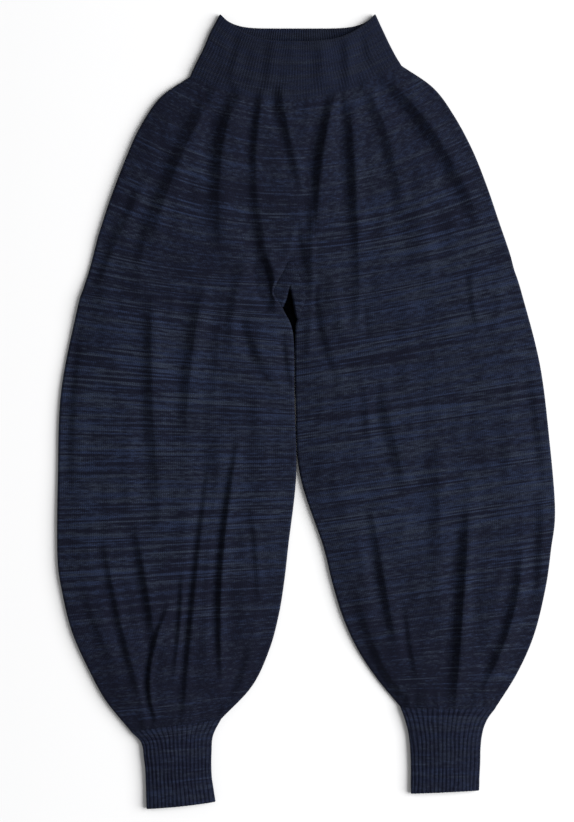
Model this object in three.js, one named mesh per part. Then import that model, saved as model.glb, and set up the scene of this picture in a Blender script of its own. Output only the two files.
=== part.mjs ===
// Harem pants in fine heather knit, laid flat on their back with the front up.
// A ribbed waistband, a full seat, two balloon legs, two ribbed cuffs and a small crotch gusset.
// Millimetres. +X is to the right seen from above, +Y towards the waist, +Z up off the surface.
import * as THREE from 'three';

// Cloth and lay
const CLOTH = 2; // thickness of the knit
const AIR = 2.4; // between the two layers where they lie on each other
const SEAM_GAP = 0.3; // between two pieces at a seam
const LEAST_AIR = 0.7; // what stays between the layers at the bottom of a crease
const FLAT_HEIGHT = 2 * CLOTH + AIR; // top of the front layer where it lies flat
const FOLD_RADIUS = FLAT_HEIGHT / 2; // of the folded side edges

// How far the front layer stands up
const WAIST_LIFT = 7; // middle of the waistband, above FLAT_HEIGHT
const WAIST_LIFT_FADE = 105; // length down the seat over which that lift dies away
const PUFF = 3.4; // slack of the seat and legs
const PUFF_EDGE = 45; // strip along a fold over which the slack builds up
const CUFF_LIFT = 4.6; // gathers above the cuff
const CUFF_LIFT_FADE = 75; // length up the leg over which they die away
const HEM_LIFT = 2.6; // middle of the cuff at its hem

// Ribs
const WAIST_RIBS = 66; // across the front of the waistband
const WAIST_RIB_HEIGHT = 0.8;
const CUFF_RIBS = 16; // across the front of a cuff
const CUFF_RIB_HEIGHT = 1.1;
const SHARP_RIB = [1, -1]; // heights across one rib, in halves of its height
const ROUND_RIB = [-1, 0.6, 1, 0.6];

// Colours of the heather yarn, by piece
const NAVY = { waistband: 0x1b1e2c, seat: 0x1f2331, leg: 0x202535, cuff: 0x1f2433, gusset: 0x222634 };
const KNIT_ROUGHNESS = 0.95;

// A section is one course of knitting right across, between its two folded ends.
// The waistband and seat give both ends and the middle, which hangs lower by a curve of that power.
const WAISTBAND = [
  { leftX: -107, leftY: 496, middleX: -10.5, middleY: 461, rightX: 86, rightY: 496, power: 3 },
  { leftX: -119, leftY: 474, middleX: -11.5, middleY: 440, rightX: 96, rightY: 475, power: 2.6 },
  { leftX: -128, leftY: 453, middleX: -12, middleY: 421, rightX: 104, rightY: 458, power: 2.3 },
  { leftX: -137, leftY: 435, middleX: -12.5, middleY: 404, rightX: 112, rightY: 443, power: 2.1 },
  { leftX: -145, leftY: 418, middleX: -13, middleY: 388, rightX: 119, rightY: 432, power: 2 },
];
const BACK_RIM_DIP = 17.5; // the back rim's middle, below its two corners
const BACK_RIM_POWER = 6;
const SEAT = [
  { leftX: -145, leftY: 418, middleX: -13, middleY: 388, rightX: 119, rightY: 432, power: 2 },
  { leftX: -182, leftY: 392, middleX: -13, middleY: 348, rightX: 159, rightY: 404, power: 2 },
  { leftX: -208, leftY: 354, middleX: -15, middleY: 308, rightX: 185, rightY: 369, power: 2 },
  { leftX: -226, leftY: 314, middleX: -18, middleY: 264, rightX: 208, rightY: 326, power: 2 },
  { leftX: -245, leftY: 264, middleX: -19, middleY: 221, rightX: 226, rightY: 281, power: 2 },
  { leftX: -260, leftY: 218, middleX: -20, middleY: 187, rightX: 241, rightY: 237, power: 2 },
];

// A leg's section runs from its inner fold to its outer one. Bow is the share of the seat's sag.
const LEFT_LEG = [
  { innerX: -21, innerY: 187, outerX: -260, outerY: 218, bow: 1 },
  { innerX: -39, innerY: 152, outerX: -270, outerY: 179, bow: 0.7 },
  { innerX: -28, innerY: 127, outerX: -278, outerY: 154, bow: 0.5 },
  { innerX: -16.4, innerY: 94, outerX: -286, outerY: 127, bow: 0.35 },
  { innerX: -14.8, innerY: 8, outerX: -306, outerY: 24, bow: 0.1 },
  { innerX: -12.4, innerY: -79, outerX: -310, outerY: -83, bow: 0 },
  { innerX: -22, innerY: -167, outerX: -310.5, outerY: -181, bow: 0 },
  { innerX: -27, innerY: -211, outerX: -304, outerY: -229, bow: -0.1 },
  { innerX: -34, innerY: -254, outerX: -292, outerY: -276, bow: -0.2 },
  { innerX: -46, innerY: -298, outerX: -272, outerY: -321, bow: -0.2 },
  { innerX: -67.5, innerY: -343, outerX: -250, outerY: -361, bow: -0.1 },
  { innerX: -106, innerY: -384, outerX: -219, outerY: -399, bow: 0 },
];
const RIGHT_LEG = [
  { innerX: -19, innerY: 187, outerX: 241, outerY: 237, bow: 1 },
  { innerX: -4, innerY: 147, outerX: 254, outerY: 199, bow: 0.7 },
  { innerX: -10, innerY: 121, outerX: 260, outerY: 177, bow: 0.5 },
  { innerX: -14.2, innerY: 94, outerX: 269, outerY: 149, bow: 0.35 },
  { innerX: -12.8, innerY: 8, outerX: 292, outerY: 59, bow: 0.1 },
  { innerX: -8, innerY: -79, outerX: 304, outerY: -36, bow: 0 },
  { innerX: 21, innerY: -167, outerX: 311, outerY: -123, bow: 0 },
  { innerX: 32, innerY: -211, outerX: 306, outerY: -172, bow: -0.1 },
  { innerX: 46, innerY: -257, outerX: 299, outerY: -221, bow: -0.2 },
  { innerX: 65, innerY: -298, outerX: 285, outerY: -278, bow: -0.2 },
  { innerX: 89, innerY: -334, outerX: 264, outerY: -326, bow: -0.1 },
  { innerX: 118, innerY: -369, outerX: 236, outerY: -371, bow: 0 },
];
const LEFT_CUFF = [
  { innerX: -106, innerY: -384, outerX: -219, outerY: -399, bow: 0 },
  { innerX: -116, innerY: -404, outerX: -206, outerY: -413, bow: 0 },
  { innerX: -118, innerY: -426, outerX: -202, outerY: -433, bow: 0 },
  { innerX: -118, innerY: -453, outerX: -200, outerY: -461, bow: 0 },
  { innerX: -113, innerY: -487, outerX: -199, outerY: -496, bow: 0.1 },
];
const RIGHT_CUFF = [
  { innerX: 118, innerY: -369, outerX: 236, outerY: -371, bow: 0 },
  { innerX: 124, innerY: -386, outerX: 225, outerY: -386, bow: 0 },
  { innerX: 129, innerY: -408, outerX: 219, outerY: -408, bow: 0 },
  { innerX: 131, innerY: -441, outerX: 217, outerY: -441, bow: 0 },
  { innerX: 131, innerY: -477, outerX: 216, outerY: -473, bow: 0 },
];

// Creases of the front, each a curve through three points. Peak says where along it is deepest.
// Roll is the height of the soft fold beside it, on its left going down the curve, or its right if
// negative. A depth below 0 is a ridge.
const CREASE_COLUMNS = ['x0', 'y0', 'x1', 'y1', 'x2', 'y2', 'width', 'depth', 'roll', 'peak'];
const SEAT_CREASES = [
  [-126, 404, -172, 320, -214, 196, 12, 4.2, 3.4, 0.34],
  [-94, 400, -120, 330, -121, 196, 11.5, 5, 3.8, 0.34],
  [-64, 396, -71, 330, -70, 262, 8, 3, 2.4, 0.36],
  [-74, 290, -66, 225, -54, 136, 8, 4.6, 1.6, 0.6],
  [-40, 396, -32, 345, -10, 258, 9, 3.8, 2.6, 0.38],
  [24, 394, 8, 310, 2, 215, 9, 5, 3.8, 0.36],
  [-1, 310, 8, 190, 0, 35, 4, -2, 0, 0.5],
  [44, 392, 52, 255, 56, 102, 9, 4.2, 3.2, 0.36],
  [62, 398, 92, 330, 108, 240, 11, 2.8, 2, 0.38],
  [84, 402, 150, 335, 206, 222, 12, 4.6, 2, 0.36],
  [-190, 325, -238, 232, -270, 150, 7, 2.2, 1.6, 0.7],
  [-188, 290, -212, 225, -222, 140, 9, 1.8, 1.6, 0.5],
  [143, 290, 150, 206, 162, 145, 9, -2.6, 0, 0.4],
  [-12, 240, -8, 205, -2, 170, 4.5, 2.2, 0, 0.5],
  [-12, 234, -24, 198, -40, 165, 5, -2, 0, 0.6],
  [198, 178, 202, 135, 210, 95, 5, 1.6, 1, 0.5],
];
const LEFT_LEG_CREASES = [
  [-58, 200, -54, 158, -48, 118, 6, 3.8, 1.2, 0.5],
  [-282, 118, -296, 0, -297, -125, 6, 2, 0.8, 0.4],
  [-206, 150, -206, 20, -194, -150, 12, 2.8, 3.4, 0.45],
  [-138, 168, -155, 70, -164, -45, 10.5, 3, 3, 0.4],
  [-84, 205, -102, 130, -103, 68, 8.5, 2.8, 1.6, 0.55],
  [-112, 170, -122, 90, -128, 0, 9, 1.8, 1.8, 0.4],
  [-82, 124, -70, 72, -38, 22, 7, 3.2, 1.2, 0.35],
  [-30, 100, -27, 60, -20, 25, 4, 1.8, 0.6, 0.4],
  [-90, -35, -111, -190, -111, -335, 7, 4.6, 2, 0.55],
  [-126, -60, -146, -235, -158, -378, 6, 3.6, 0.6, 0.55],
  [-160, -200, -162, -260, -170, -335, 5, 2.2, 2.6, 0.5],
  [-222, -140, -206, -225, -195, -300, 9, 4, 2.6, 0.65],
  [-174, -238, -199, -320, -190, -388, 6, 4, 2, 0.6],
  [-258, -160, -240, -258, -208, -374, 8, 3, 1.8, 0.5],
  [-285, -220, -268, -270, -245, -320, 6, 1.6, 0.8, 0.5],
  [-76, -115, -68, -175, -65, -240, 5, 1.8, 1, 0.5],
  [-78, -290, -90, -335, -112, -377, 6.5, 2.4, 1.2, 0.5],
];
const RIGHT_LEG_CREASES = [
  [8, 160, 16, 98, 38, 32, 6, 2.8, 0.8, 0.4],
  [30, 178, 42, 125, 55, 72, 7, -2.2, 0, 0.5],
  [70, 162, 72, 125, 76, 88, 5, 1.8, 0, 0.5],
  [78, 18, 97, -40, 108, -108, 10, 2.8, 2.4, 0.5],
  [66, 42, 68, 0, 72, -48, 6, 1.4, 1.4, 0.5],
  [146, -30, 148, -110, 152, -190, 12, 2, 2, 0.5],
  [268, 70, 281, -20, 291, -112, 7, 2.4, 1, 0.5],
  [283, -92, 284, -165, 278, -258, 7, 2.8, 1.6, 0.5],
  [72, -118, 87, -205, 102, -288, 9.5, 3.8, 2.2, 0.65],
  [52, -215, 86, -318, 128, -367, 9, 2.8, 2, 0.6],
  [118, -235, 124, -285, 134, -338, 4.5, 2, 1, 0.5],
  [192, -118, 184, -250, 174, -374, 10.5, 4.4, 4, 0.6],
  [260, -168, 246, -262, 204, -356, 8.5, 3.4, 2.4, 0.5],
];
const CREASES = [...SEAT_CREASES, ...LEFT_LEG_CREASES, ...RIGHT_LEG_CREASES].map((row) =>
  Object.fromEntries(CREASE_COLUMNS.map((column, i) => [column, row[i]])));
const CREASE_STEPS = 14; // pieces of a crease's curve that distances are measured to
const ROLL_PLACE = 1.6; // a roll's line lies this many widths beside its crease
const ROLL_WIDTH = 1.3;

// The gusset fills the fork between the legs' inner folds, and sinks to the surface in a notch.
// Its rows are places down the leg tables, with the notch's two sides and how high the gusset stands.
const GUSSET = [
  { place: 0, leftX: -20.2, rightX: -19.8, stand: 1 },
  { place: 0.8, leftX: -21.6, rightX: -20.6, stand: 1 },
  { place: 1, leftX: -24, rightX: -17.8, stand: 1 },
  { place: 1.4, leftX: -27.6, rightX: -14.6, stand: 1 },
  { place: 1.7, leftX: -30.2, rightX: -13.2, stand: 0.9 },
  { place: 2, leftX: -30, rightX: -12, stand: 0.45 },
  { place: 2.4, leftX: -26, rightX: -10, stand: 0 },
  { place: 3, leftX: -20, rightX: -10, stand: 0 },
];
const NOTCH_SIDE = 5; // width of the slope down each side of the notch

// How finely each piece is cut into faces
const FOLD_STEPS = 4;
const GRIDS = {
  waistband: { perSection: 1, front: 24, back: 12 },
  seat: { perSection: 2, front: 60, back: 20 },
  leg: { perSection: 2, front: 30, back: 8 },
  cuff: { perSection: 1, front: 12, back: 4 },
  gusset: { perSection: 4, across: 18 },
};

const lerp = THREE.MathUtils.lerp;
const clamp = THREE.MathUtils.clamp;
const smoothstep = THREE.MathUtils.smoothstep;

// One table row at a place between rows, each column on a smooth curve through its values.
function sectionAt(table, place) {
  const last = table.length - 1;
  const row = Math.min(Math.floor(place), last - 1);
  const t = place - row;
  const at = (column, index) => table[clamp(index, 0, last)][column];
  const section = {};
  for (const column of Object.keys(table[0])) {
    const [a, b] = [at(column, row), at(column, row + 1)];
    const slopeA = row === 0 ? b - a : (b - at(column, row - 1)) / 2;
    const slopeB = row + 1 === last ? b - a : (at(column, row + 2) - a) / 2;
    const [leaving, arriving] = [a * (1 + 2 * t) + slopeA * t, b * (3 - 2 * t) - slopeB * (1 - t)];
    section[column] = leaving * (1 - t) ** 2 + arriving * t ** 2;
  }
  return section;
}

// A point of a waistband or seat course, with across from 0 at the left fold to 1 at the right.
function acrossBody(section, across) {
  const u = 2 * across - 1;
  const rise = Math.abs(u) ** section.power;
  const point = (left, middle, right) =>
    middle + (u * (right - left)) / 2 + rise * ((left + right) / 2 - middle);
  return [
    point(section.leftX, section.middleX, section.rightX),
    point(section.leftY, section.middleY, section.rightY),
  ];
}

// The seat's last course sags by this much, and each leg's first one follows it.
const SEAT_END = SEAT[SEAT.length - 1];
const SAG = {
  x: (SEAT_END.leftX + SEAT_END.rightX) / 2 - SEAT_END.middleX,
  y: (SEAT_END.leftY + SEAT_END.rightY) / 2 - SEAT_END.middleY,
};

// A point of a leg or cuff course, with across from 0 at the inner fold to 1 at the outer.
function acrossLeg(section, across) {
  const hang = section.bow * across * (1 - across);
  return [
    lerp(section.innerX, section.outerX, across) - SAG.x * hang,
    lerp(section.innerY, section.outerY, across) - SAG.y * hang,
  ];
}

// A crease's curve as short straight pieces.
function creaseLine(crease) {
  const through = (a, b, c, t) => a * (1 - t) * (1 - 2 * t) + 4 * b * t * (1 - t) + c * t * (2 * t - 1);
  return Array.from({ length: CREASE_STEPS + 1 }, (_, i) => {
    const t = i / CREASE_STEPS;
    return [through(crease.x0, crease.x1, crease.x2, t), through(crease.y0, crease.y1, crease.y2, t)];
  });
}
const CREASE_LINES = CREASES.map(creaseLine);

// The nearest place on a crease: its distance, with a minus on the right, and how far along it is.
function nearCrease(line, x, y) {
  let best = { distance: Infinity, along: 0 };
  for (let i = 0; i < CREASE_STEPS; i += 1) {
    const [ax, ay] = line[i];
    const [dx, dy] = [line[i + 1][0] - ax, line[i + 1][1] - ay];
    const t = clamp(((x - ax) * dx + (y - ay) * dy) / (dx * dx + dy * dy), 0, 1);
    const [ox, oy] = [x - ax - t * dx, y - ay - t * dy];
    const distance = Math.hypot(ox, oy);
    if (distance < Math.abs(best.distance)) {
      best = { distance: dx * oy - dy * ox < 0 ? -distance : distance, along: (i + t) / CREASE_STEPS };
    }
  }
  return best;
}

// What the creases and the rolls beside them add to the front's height at a point.
function creaseRelief(x, y) {
  let height = 0;
  CREASES.forEach((crease, index) => {
    const { distance, along } = nearCrease(CREASE_LINES[index], x, y);
    const share = along < crease.peak ? along / crease.peak : (1 - along) / (1 - crease.peak);
    const strength = Math.sin((Math.PI / 2) * clamp(share, 0, 1));
    const side = distance - Math.sign(crease.roll) * ROLL_PLACE * crease.width;
    const trough = crease.depth * Math.exp(-((distance / crease.width) ** 2));
    const ridge = Math.abs(crease.roll) * Math.exp(-((side / (ROLL_WIDTH * crease.width)) ** 2));
    height += strength * (ridge - trough);
  });
  return height;
}

const dome = (across) => 4 * across * (1 - across);
const edgeSlack = (distance) => PUFF * smoothstep(distance, 0, PUFF_EDGE);

// Height of the front layer's outer side, from the flat height, a lift and the creases.
function creased(x, y, lift) {
  const height = FLAT_HEIGHT + lift + creaseRelief(x, y);
  return Math.max(height, 2 * CLOTH + LEAST_AIR);
}

function waistbandHeight(across) {
  return FLAT_HEIGHT + WAIST_LIFT * dome(across);
}

function seatHeight(across, width, place, x, y) {
  const down = place * Math.hypot(SEAT[1].middleX - SEAT[0].middleX, SEAT[1].middleY - SEAT[0].middleY);
  const slack = edgeSlack(width * Math.min(across, 1 - across)) * smoothstep(down, 0, WAIST_LIFT_FADE);
  return creased(x, y, slack + WAIST_LIFT * dome(across) * Math.exp(-((down / WAIST_LIFT_FADE) ** 2)));
}

function legHeight(across, width, up, x, y) {
  const gathers = CUFF_LIFT * dome(across) * Math.exp(-((up / CUFF_LIFT_FADE) ** 2));
  const slack = edgeSlack(width * Math.min(across, 1 - across)) * smoothstep(up, 0, CUFF_LIFT_FADE);
  return creased(x, y, slack + gathers);
}

function cuffHeight(across, down) {
  return FLAT_HEIGHT + lerp(CUFF_LIFT, HEM_LIFT, smoothstep(down, 0, 1)) * dome(across);
}

// Places round a flat tube: over the front, round one fold, back under and round the other fold.
// Turn orders them all the way round, so that two loops of different counts can be joined.
function loopPlaces(frontSteps, backSteps, ribShape = [0]) {
  const places = [];
  for (let i = 0; i <= frontSteps; i += 1) {
    const rib = i === 0 || i === frontSteps ? 0 : ribShape[i % ribShape.length];
    places.push({ layer: 'front', across: i / frontSteps, rib, turn: (0.4 * i) / frontSteps });
  }
  for (let i = 1; i < FOLD_STEPS; i += 1) {
    const angle = (Math.PI * i) / FOLD_STEPS;
    places.push({ layer: 'fold', edge: 1, angle, rib: 0, turn: 0.4 + (0.1 * i) / FOLD_STEPS });
  }
  for (let i = 0; i <= backSteps; i += 1) {
    places.push({ layer: 'back', across: 1 - i / backSteps, rib: 0, turn: 0.5 + (0.4 * i) / backSteps });
  }
  for (let i = 1; i < FOLD_STEPS; i += 1) {
    const angle = Math.PI - (Math.PI * i) / FOLD_STEPS;
    places.push({ layer: 'fold', edge: 0, angle, rib: 0, turn: 0.9 + (0.1 * i) / FOLD_STEPS });
  }
  return places;
}

// One loop round a tube at a course, on the cloth's outer side or set in from it.
function loopPoints(course, places, inset, ribHeight) {
  const edge = FOLD_RADIUS / course.width;
  const foldTops = [course.height(edge), course.height(1 - edge)];
  return places.map((place) => {
    if (place.layer === 'fold') {
      const reach = (FOLD_RADIUS - inset) * Math.sin(place.angle);
      const across = place.edge === 1 ? 1 - edge + reach / course.width : edge - reach / course.width;
      const half = (foldTops[place.edge] - 2 * inset) / 2;
      const [x, y] = course.point(across, (1 - Math.cos(place.angle)) / 2);
      return [x, y, inset + half + half * Math.cos(place.angle)];
    }
    const across = lerp(edge, 1 - edge, place.across);
    const [x, y] = course.point(across, place.layer === 'back' ? 1 : 0);
    const top = course.height(across, x, y) + (place.rib * ribHeight) / 2 - inset;
    return [x, y, place.layer === 'back' ? inset : top];
  });
}

// A closed mesh from loops of points that are joined one to the next.
class Surface {
  constructor() {
    this.points = [];
    this.faces = [];
  }

  add(loop) {
    const first = this.points.length;
    this.points.push(...loop);
    return loop.map((_, i) => first + i);
  }

  // Four-sided faces between two lines of the same count.
  join(a, b, closed) {
    const steps = closed ? a.length : a.length - 1;
    for (let i = 0; i < steps; i += 1) {
      const next = (i + 1) % a.length;
      this.faces.push([a[i], b[i], a[next]], [a[next], b[i], b[next]]);
    }
  }

  // Faces between two loops of different counts, taking the nearer next point of the two each time.
  zip(a, turnsA, b, turnsB) {
    let [i, j] = [0, 0];
    while (i < a.length || j < b.length) {
      const nextA = i + 1 < a.length ? turnsA[i + 1] : 1 + turnsA[0];
      const nextB = j + 1 < b.length ? turnsB[j + 1] : 1 + turnsB[0];
      const [pointA, pointB] = [a[i % a.length], b[j % b.length]];
      if (j >= b.length || (i < a.length && nextA <= nextB)) {
        this.faces.push([pointA, a[(i + 1) % a.length], pointB]);
        i += 1;
      } else {
        this.faces.push([pointA, b[(j + 1) % b.length], pointB]);
        j += 1;
      }
    }
  }

  geometry() {
    const corner = (face, i) => new THREE.Vector3(...this.points[face[i]]);
    const volume = this.faces.reduce((sum, f) => sum + corner(f, 0).dot(corner(f, 1).cross(corner(f, 2))), 0);
    const faces = volume < 0 ? this.faces.map(([a, b, c]) => [a, c, b]) : this.faces;
    const geometry = new THREE.BufferGeometry();
    geometry.setAttribute('position', new THREE.Float32BufferAttribute(this.points.flat(), 3));
    geometry.setIndex(faces.flat());
    geometry.computeVertexNormals();
    return geometry;
  }
}

// A flat-laid tube: an outer wall and an inner one, joined round both open ends.
function tube(courses, outerPlaces, innerPlaces, ribHeight = 0) {
  const surface = new Surface();
  const outer = courses.map((course) => surface.add(loopPoints(course, outerPlaces, 0, ribHeight)));
  const inner = courses.map((course) => surface.add(loopPoints(course, innerPlaces, CLOTH, 0)));
  const [outerTurns, innerTurns] = [outerPlaces.map((p) => p.turn), innerPlaces.map((p) => p.turn)];
  for (let i = 0; i + 1 < courses.length; i += 1) {
    surface.join(outer[i], outer[i + 1], true);
    surface.join(inner[i + 1], inner[i], true);
  }
  const end = courses.length - 1;
  surface.zip(outer[0], outerTurns, inner[0], innerTurns);
  surface.zip(inner[end], innerTurns, outer[end], outerTurns);
  return surface.geometry();
}

// A sheet of cloth with an outer and an inner side, closed along all four edges.
function sheet(outerRows, innerRows) {
  const surface = new Surface();
  const outer = outerRows.map((row) => surface.add(row));
  const inner = innerRows.map((row) => surface.add(row));
  const end = outer.length - 1;
  for (let i = 0; i < end; i += 1) {
    surface.join(outer[i], outer[i + 1], false);
    surface.join(inner[i + 1], inner[i], false);
  }
  surface.join(inner[0], outer[0], false);
  surface.join(outer[end], inner[end], false);
  const side = (rows, index) => rows.map((row) => row[index]);
  const last = outer[0].length - 1;
  surface.join(side(outer, 0), side(inner, 0), false);
  surface.join(side(inner, last), side(outer, last), false);
  return surface.geometry();
}

// Places down a table at which courses are made, kept clear of the seam at its end.
function coursePlaces(table, perSection, spacing, gapAfter) {
  const last = (table.length - 1) * perSection;
  return Array.from({ length: last + 1 }, (_, i) => {
    const place = i / perSection;
    return i === last ? place - gapAfter / spacing(table.length - 2) : place;
  });
}

const spacingOf = (table, x, y) => (row) =>
  Math.hypot(table[row + 1][x] - table[row][x], table[row + 1][y] - table[row][y]);

function waistbandGeometry() {
  const spacing = spacingOf(WAISTBAND, 'middleX', 'middleY');
  const places = coursePlaces(WAISTBAND, GRIDS.waistband.perSection, spacing, SEAM_GAP);
  const end = WAISTBAND.length - 1;
  const courses = places.map((place) => {
    const front = sectionAt(WAISTBAND, place);
    const share = place / end;
    const corner = (front.leftY + front.rightY) / 2;
    const back = { ...front, middleY: lerp(corner - BACK_RIM_DIP, front.middleY, share) };
    back.power = lerp(BACK_RIM_POWER, front.power, share);
    return {
      width: front.rightX - front.leftX,
      point: (across, backness) => {
        const [a, b] = [acrossBody(front, across), acrossBody(back, across)];
        return [lerp(a[0], b[0], backness), lerp(a[1], b[1], backness)];
      },
      height: (across) => waistbandHeight(across),
    };
  });
  const ribbed = loopPlaces(WAIST_RIBS * SHARP_RIB.length, GRIDS.waistband.back, SHARP_RIB);
  const plain = loopPlaces(GRIDS.waistband.front, GRIDS.waistband.back);
  return tube(courses, ribbed, plain, WAIST_RIB_HEIGHT);
}

function seatGeometry() {
  const spacing = spacingOf(SEAT, 'middleX', 'middleY');
  const places = coursePlaces(SEAT, GRIDS.seat.perSection, spacing, SEAM_GAP);
  const courses = places.map((place) => {
    const section = sectionAt(SEAT, place);
    const width = Math.hypot(section.rightX - section.leftX, section.rightY - section.leftY);
    return {
      width,
      point: (across) => acrossBody(section, across),
      height: (across, x, y) => {
        const [px, py] = x === undefined ? acrossBody(section, across) : [x, y];
        return seatHeight(across, width, place, px, py);
      },
    };
  });
  const plain = loopPlaces(GRIDS.seat.front, GRIDS.seat.back);
  return tube(courses, plain, plain);
}

// How far up the leg from the cuff seam a section lies.
function lengthUp(table, place) {
  const spacing = spacingOf(table, 'innerX', 'innerY');
  let up = 0;
  for (let row = table.length - 2; row >= 0; row -= 1) {
    up += clamp(row + 1 - place, 0, 1) * spacing(row);
  }
  return up;
}

function legCourse(table, place, height) {
  const section = sectionAt(table, place);
  const width = Math.hypot(section.outerX - section.innerX, section.outerY - section.innerY);
  return {
    width,
    point: (across) => acrossLeg(section, across),
    height: (across, x, y) => {
      const [px, py] = x === undefined ? acrossLeg(section, across) : [x, y];
      return height(across, width, px, py);
    },
  };
}

const legPlaces = (table) =>
  coursePlaces(table, GRIDS.leg.perSection, spacingOf(table, 'outerX', 'outerY'), SEAM_GAP);

function legGeometry(table) {
  const courses = legPlaces(table).map((place) => {
    const up = lengthUp(table, place);
    return legCourse(table, place, (across, width, x, y) => legHeight(across, width, up, x, y));
  });
  const plain = loopPlaces(GRIDS.leg.front, GRIDS.leg.back);
  return tube(courses, plain, plain);
}

function cuffGeometry(table) {
  const spacing = spacingOf(table, 'outerX', 'outerY');
  const courses = coursePlaces(table, GRIDS.cuff.perSection, spacing, 0).map((place) => {
    const down = place / (table.length - 1);
    return legCourse(table, place, (across) => cuffHeight(across, down));
  });
  const ribbed = loopPlaces(CUFF_RIBS * ROUND_RIB.length, GRIDS.cuff.back, ROUND_RIB);
  const plain = loopPlaces(GRIDS.cuff.front, GRIDS.cuff.back);
  return tube(courses, ribbed, plain, CUFF_RIB_HEIGHT);
}

// A row of the gusset's table at a place between its rows, on straight lines.
function gussetRow(place) {
  const next = Math.max(1, GUSSET.findIndex((row) => row.place >= place));
  const [a, b] = [GUSSET[next - 1], GUSSET[next]];
  const share = (place - a.place) / (b.place - a.place);
  const at = (column) => lerp(a[column], b[column], share);
  return { leftX: at('leftX'), rightX: at('rightX'), stand: at('stand') };
}

// A slope from 0 to 1 about a line, as half a wave.
const slope = (distance) => (1 - Math.cos(Math.PI * clamp(0.5 + distance / NOTCH_SIDE, 0, 1))) / 2;

// A point of a leg's inner fold, on straight lines between the leg's courses.
function foldPoint(table, place) {
  const step = 1 / GRIDS.leg.perSection;
  const before = Math.floor(place / step) * step;
  const [a, b] = [before, before + step].map((at) => acrossLeg(sectionAt(table, at), 0));
  const share = (place - before) / step;
  return [lerp(a[0], b[0], share), lerp(a[1], b[1], share)];
}

// The middle of the gusset's cloth across one row, from the left leg's fold to the right leg's.
function gussetLine(place) {
  const notch = gussetRow(place);
  const [leftX, leftY] = foldPoint(LEFT_LEG, place);
  const [rightX, rightY] = foldPoint(RIGHT_LEG, place);
  const rise = notch.stand * (FLAT_HEIGHT - CLOTH);
  return Array.from({ length: GRIDS.gusset.across + 1 }, (_, i) => {
    const share = i / GRIDS.gusset.across;
    const x = lerp(leftX + SEAM_GAP, rightX - SEAM_GAP, share);
    const sunk = slope(x - notch.leftX) * slope(notch.rightX - x);
    return [x, lerp(leftY, rightY, share), CLOTH / 2 + rise * (1 - sunk)];
  });
}

// A row set off square to its line by a distance, up if it is above 0, and straight up at its ends.
function offsetRow(line, distance) {
  return line.map(([x, y, z], i) => {
    if (i === 0 || i === line.length - 1) {
      return [x, y, z + distance];
    }
    const [before, after] = [line[i - 1], line[i + 1]];
    const [dx, dz] = [after[0] - before[0], after[2] - before[2]];
    const length = Math.hypot(dx, dz);
    return [x - (distance * dz) / length, y, z + (distance * dx) / length];
  });
}

// The gusset is one sheet of cloth that spans the fork and sinks between the legs.
function gussetGeometry() {
  const last = GUSSET[GUSSET.length - 1].place;
  const start = SEAM_GAP / spacingOf(LEFT_LEG, 'innerX', 'innerY')(0);
  const { perSection } = GRIDS.gusset;
  const count = last * perSection + 1;
  const lines = Array.from({ length: count }, (_, i) => gussetLine(Math.max(start, i / perSection)));
  const half = CLOTH / 2;
  return sheet(lines.map((line) => offsetRow(line, half)), lines.map((line) => offsetRow(line, -half)));
}

function piece(name, geometry, color) {
  const material = new THREE.MeshStandardMaterial({ color, roughness: KNIT_ROUGHNESS, metalness: 0 });
  const mesh = new THREE.Mesh(geometry, material);
  mesh.name = name;
  return mesh;
}

const pants = new THREE.Group();
pants.add(
  piece('waistband', waistbandGeometry(), NAVY.waistband),
  piece('seat', seatGeometry(), NAVY.seat),
  piece('leg_left', legGeometry(LEFT_LEG), NAVY.leg),
  piece('leg_right', legGeometry(RIGHT_LEG), NAVY.leg),
  piece('cuff_left', cuffGeometry(LEFT_CUFF), NAVY.cuff),
  piece('cuff_right', cuffGeometry(RIGHT_CUFF), NAVY.cuff),
  piece('gusset', gussetGeometry(), NAVY.gusset),
);

export default pants;
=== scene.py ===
"""Harem pants in fine heather knit, laid flat on their back with the front up.

A 1x1 ribbed waistband, a full seat, two balloon legs, two coarse ribbed cuffs and a small crotch
gusset, knitted in space-dyed navy yarn. Shapes are worked out in millimetres, in the frame of the
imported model, and become metres when a mesh is made. +X is to the right seen from above, +Y towards
the waist and +Z up off the surface.
"""

import logging
import math
from dataclasses import dataclass, field
from enum import Enum, IntEnum

import bpy
import numpy as np
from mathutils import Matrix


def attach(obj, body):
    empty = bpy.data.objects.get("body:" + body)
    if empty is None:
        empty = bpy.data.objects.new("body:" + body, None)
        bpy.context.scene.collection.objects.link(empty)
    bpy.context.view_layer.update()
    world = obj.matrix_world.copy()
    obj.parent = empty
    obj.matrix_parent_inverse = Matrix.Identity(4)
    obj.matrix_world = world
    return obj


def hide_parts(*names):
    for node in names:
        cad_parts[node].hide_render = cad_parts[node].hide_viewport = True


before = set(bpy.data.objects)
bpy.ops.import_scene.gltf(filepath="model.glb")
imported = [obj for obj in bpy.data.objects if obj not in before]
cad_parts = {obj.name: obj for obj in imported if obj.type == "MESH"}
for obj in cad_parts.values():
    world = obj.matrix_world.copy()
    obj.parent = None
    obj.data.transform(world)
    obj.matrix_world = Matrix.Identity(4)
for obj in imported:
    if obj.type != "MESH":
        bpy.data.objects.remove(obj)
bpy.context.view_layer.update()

LOG = logging.getLogger("harem_pants")

Array = np.ndarray
Pair = tuple[Array, Array]
Section = dict[str, Array]
Socket = bpy.types.NodeSocket

MM = 0.001
KNIT_MAP = "knit"

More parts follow.
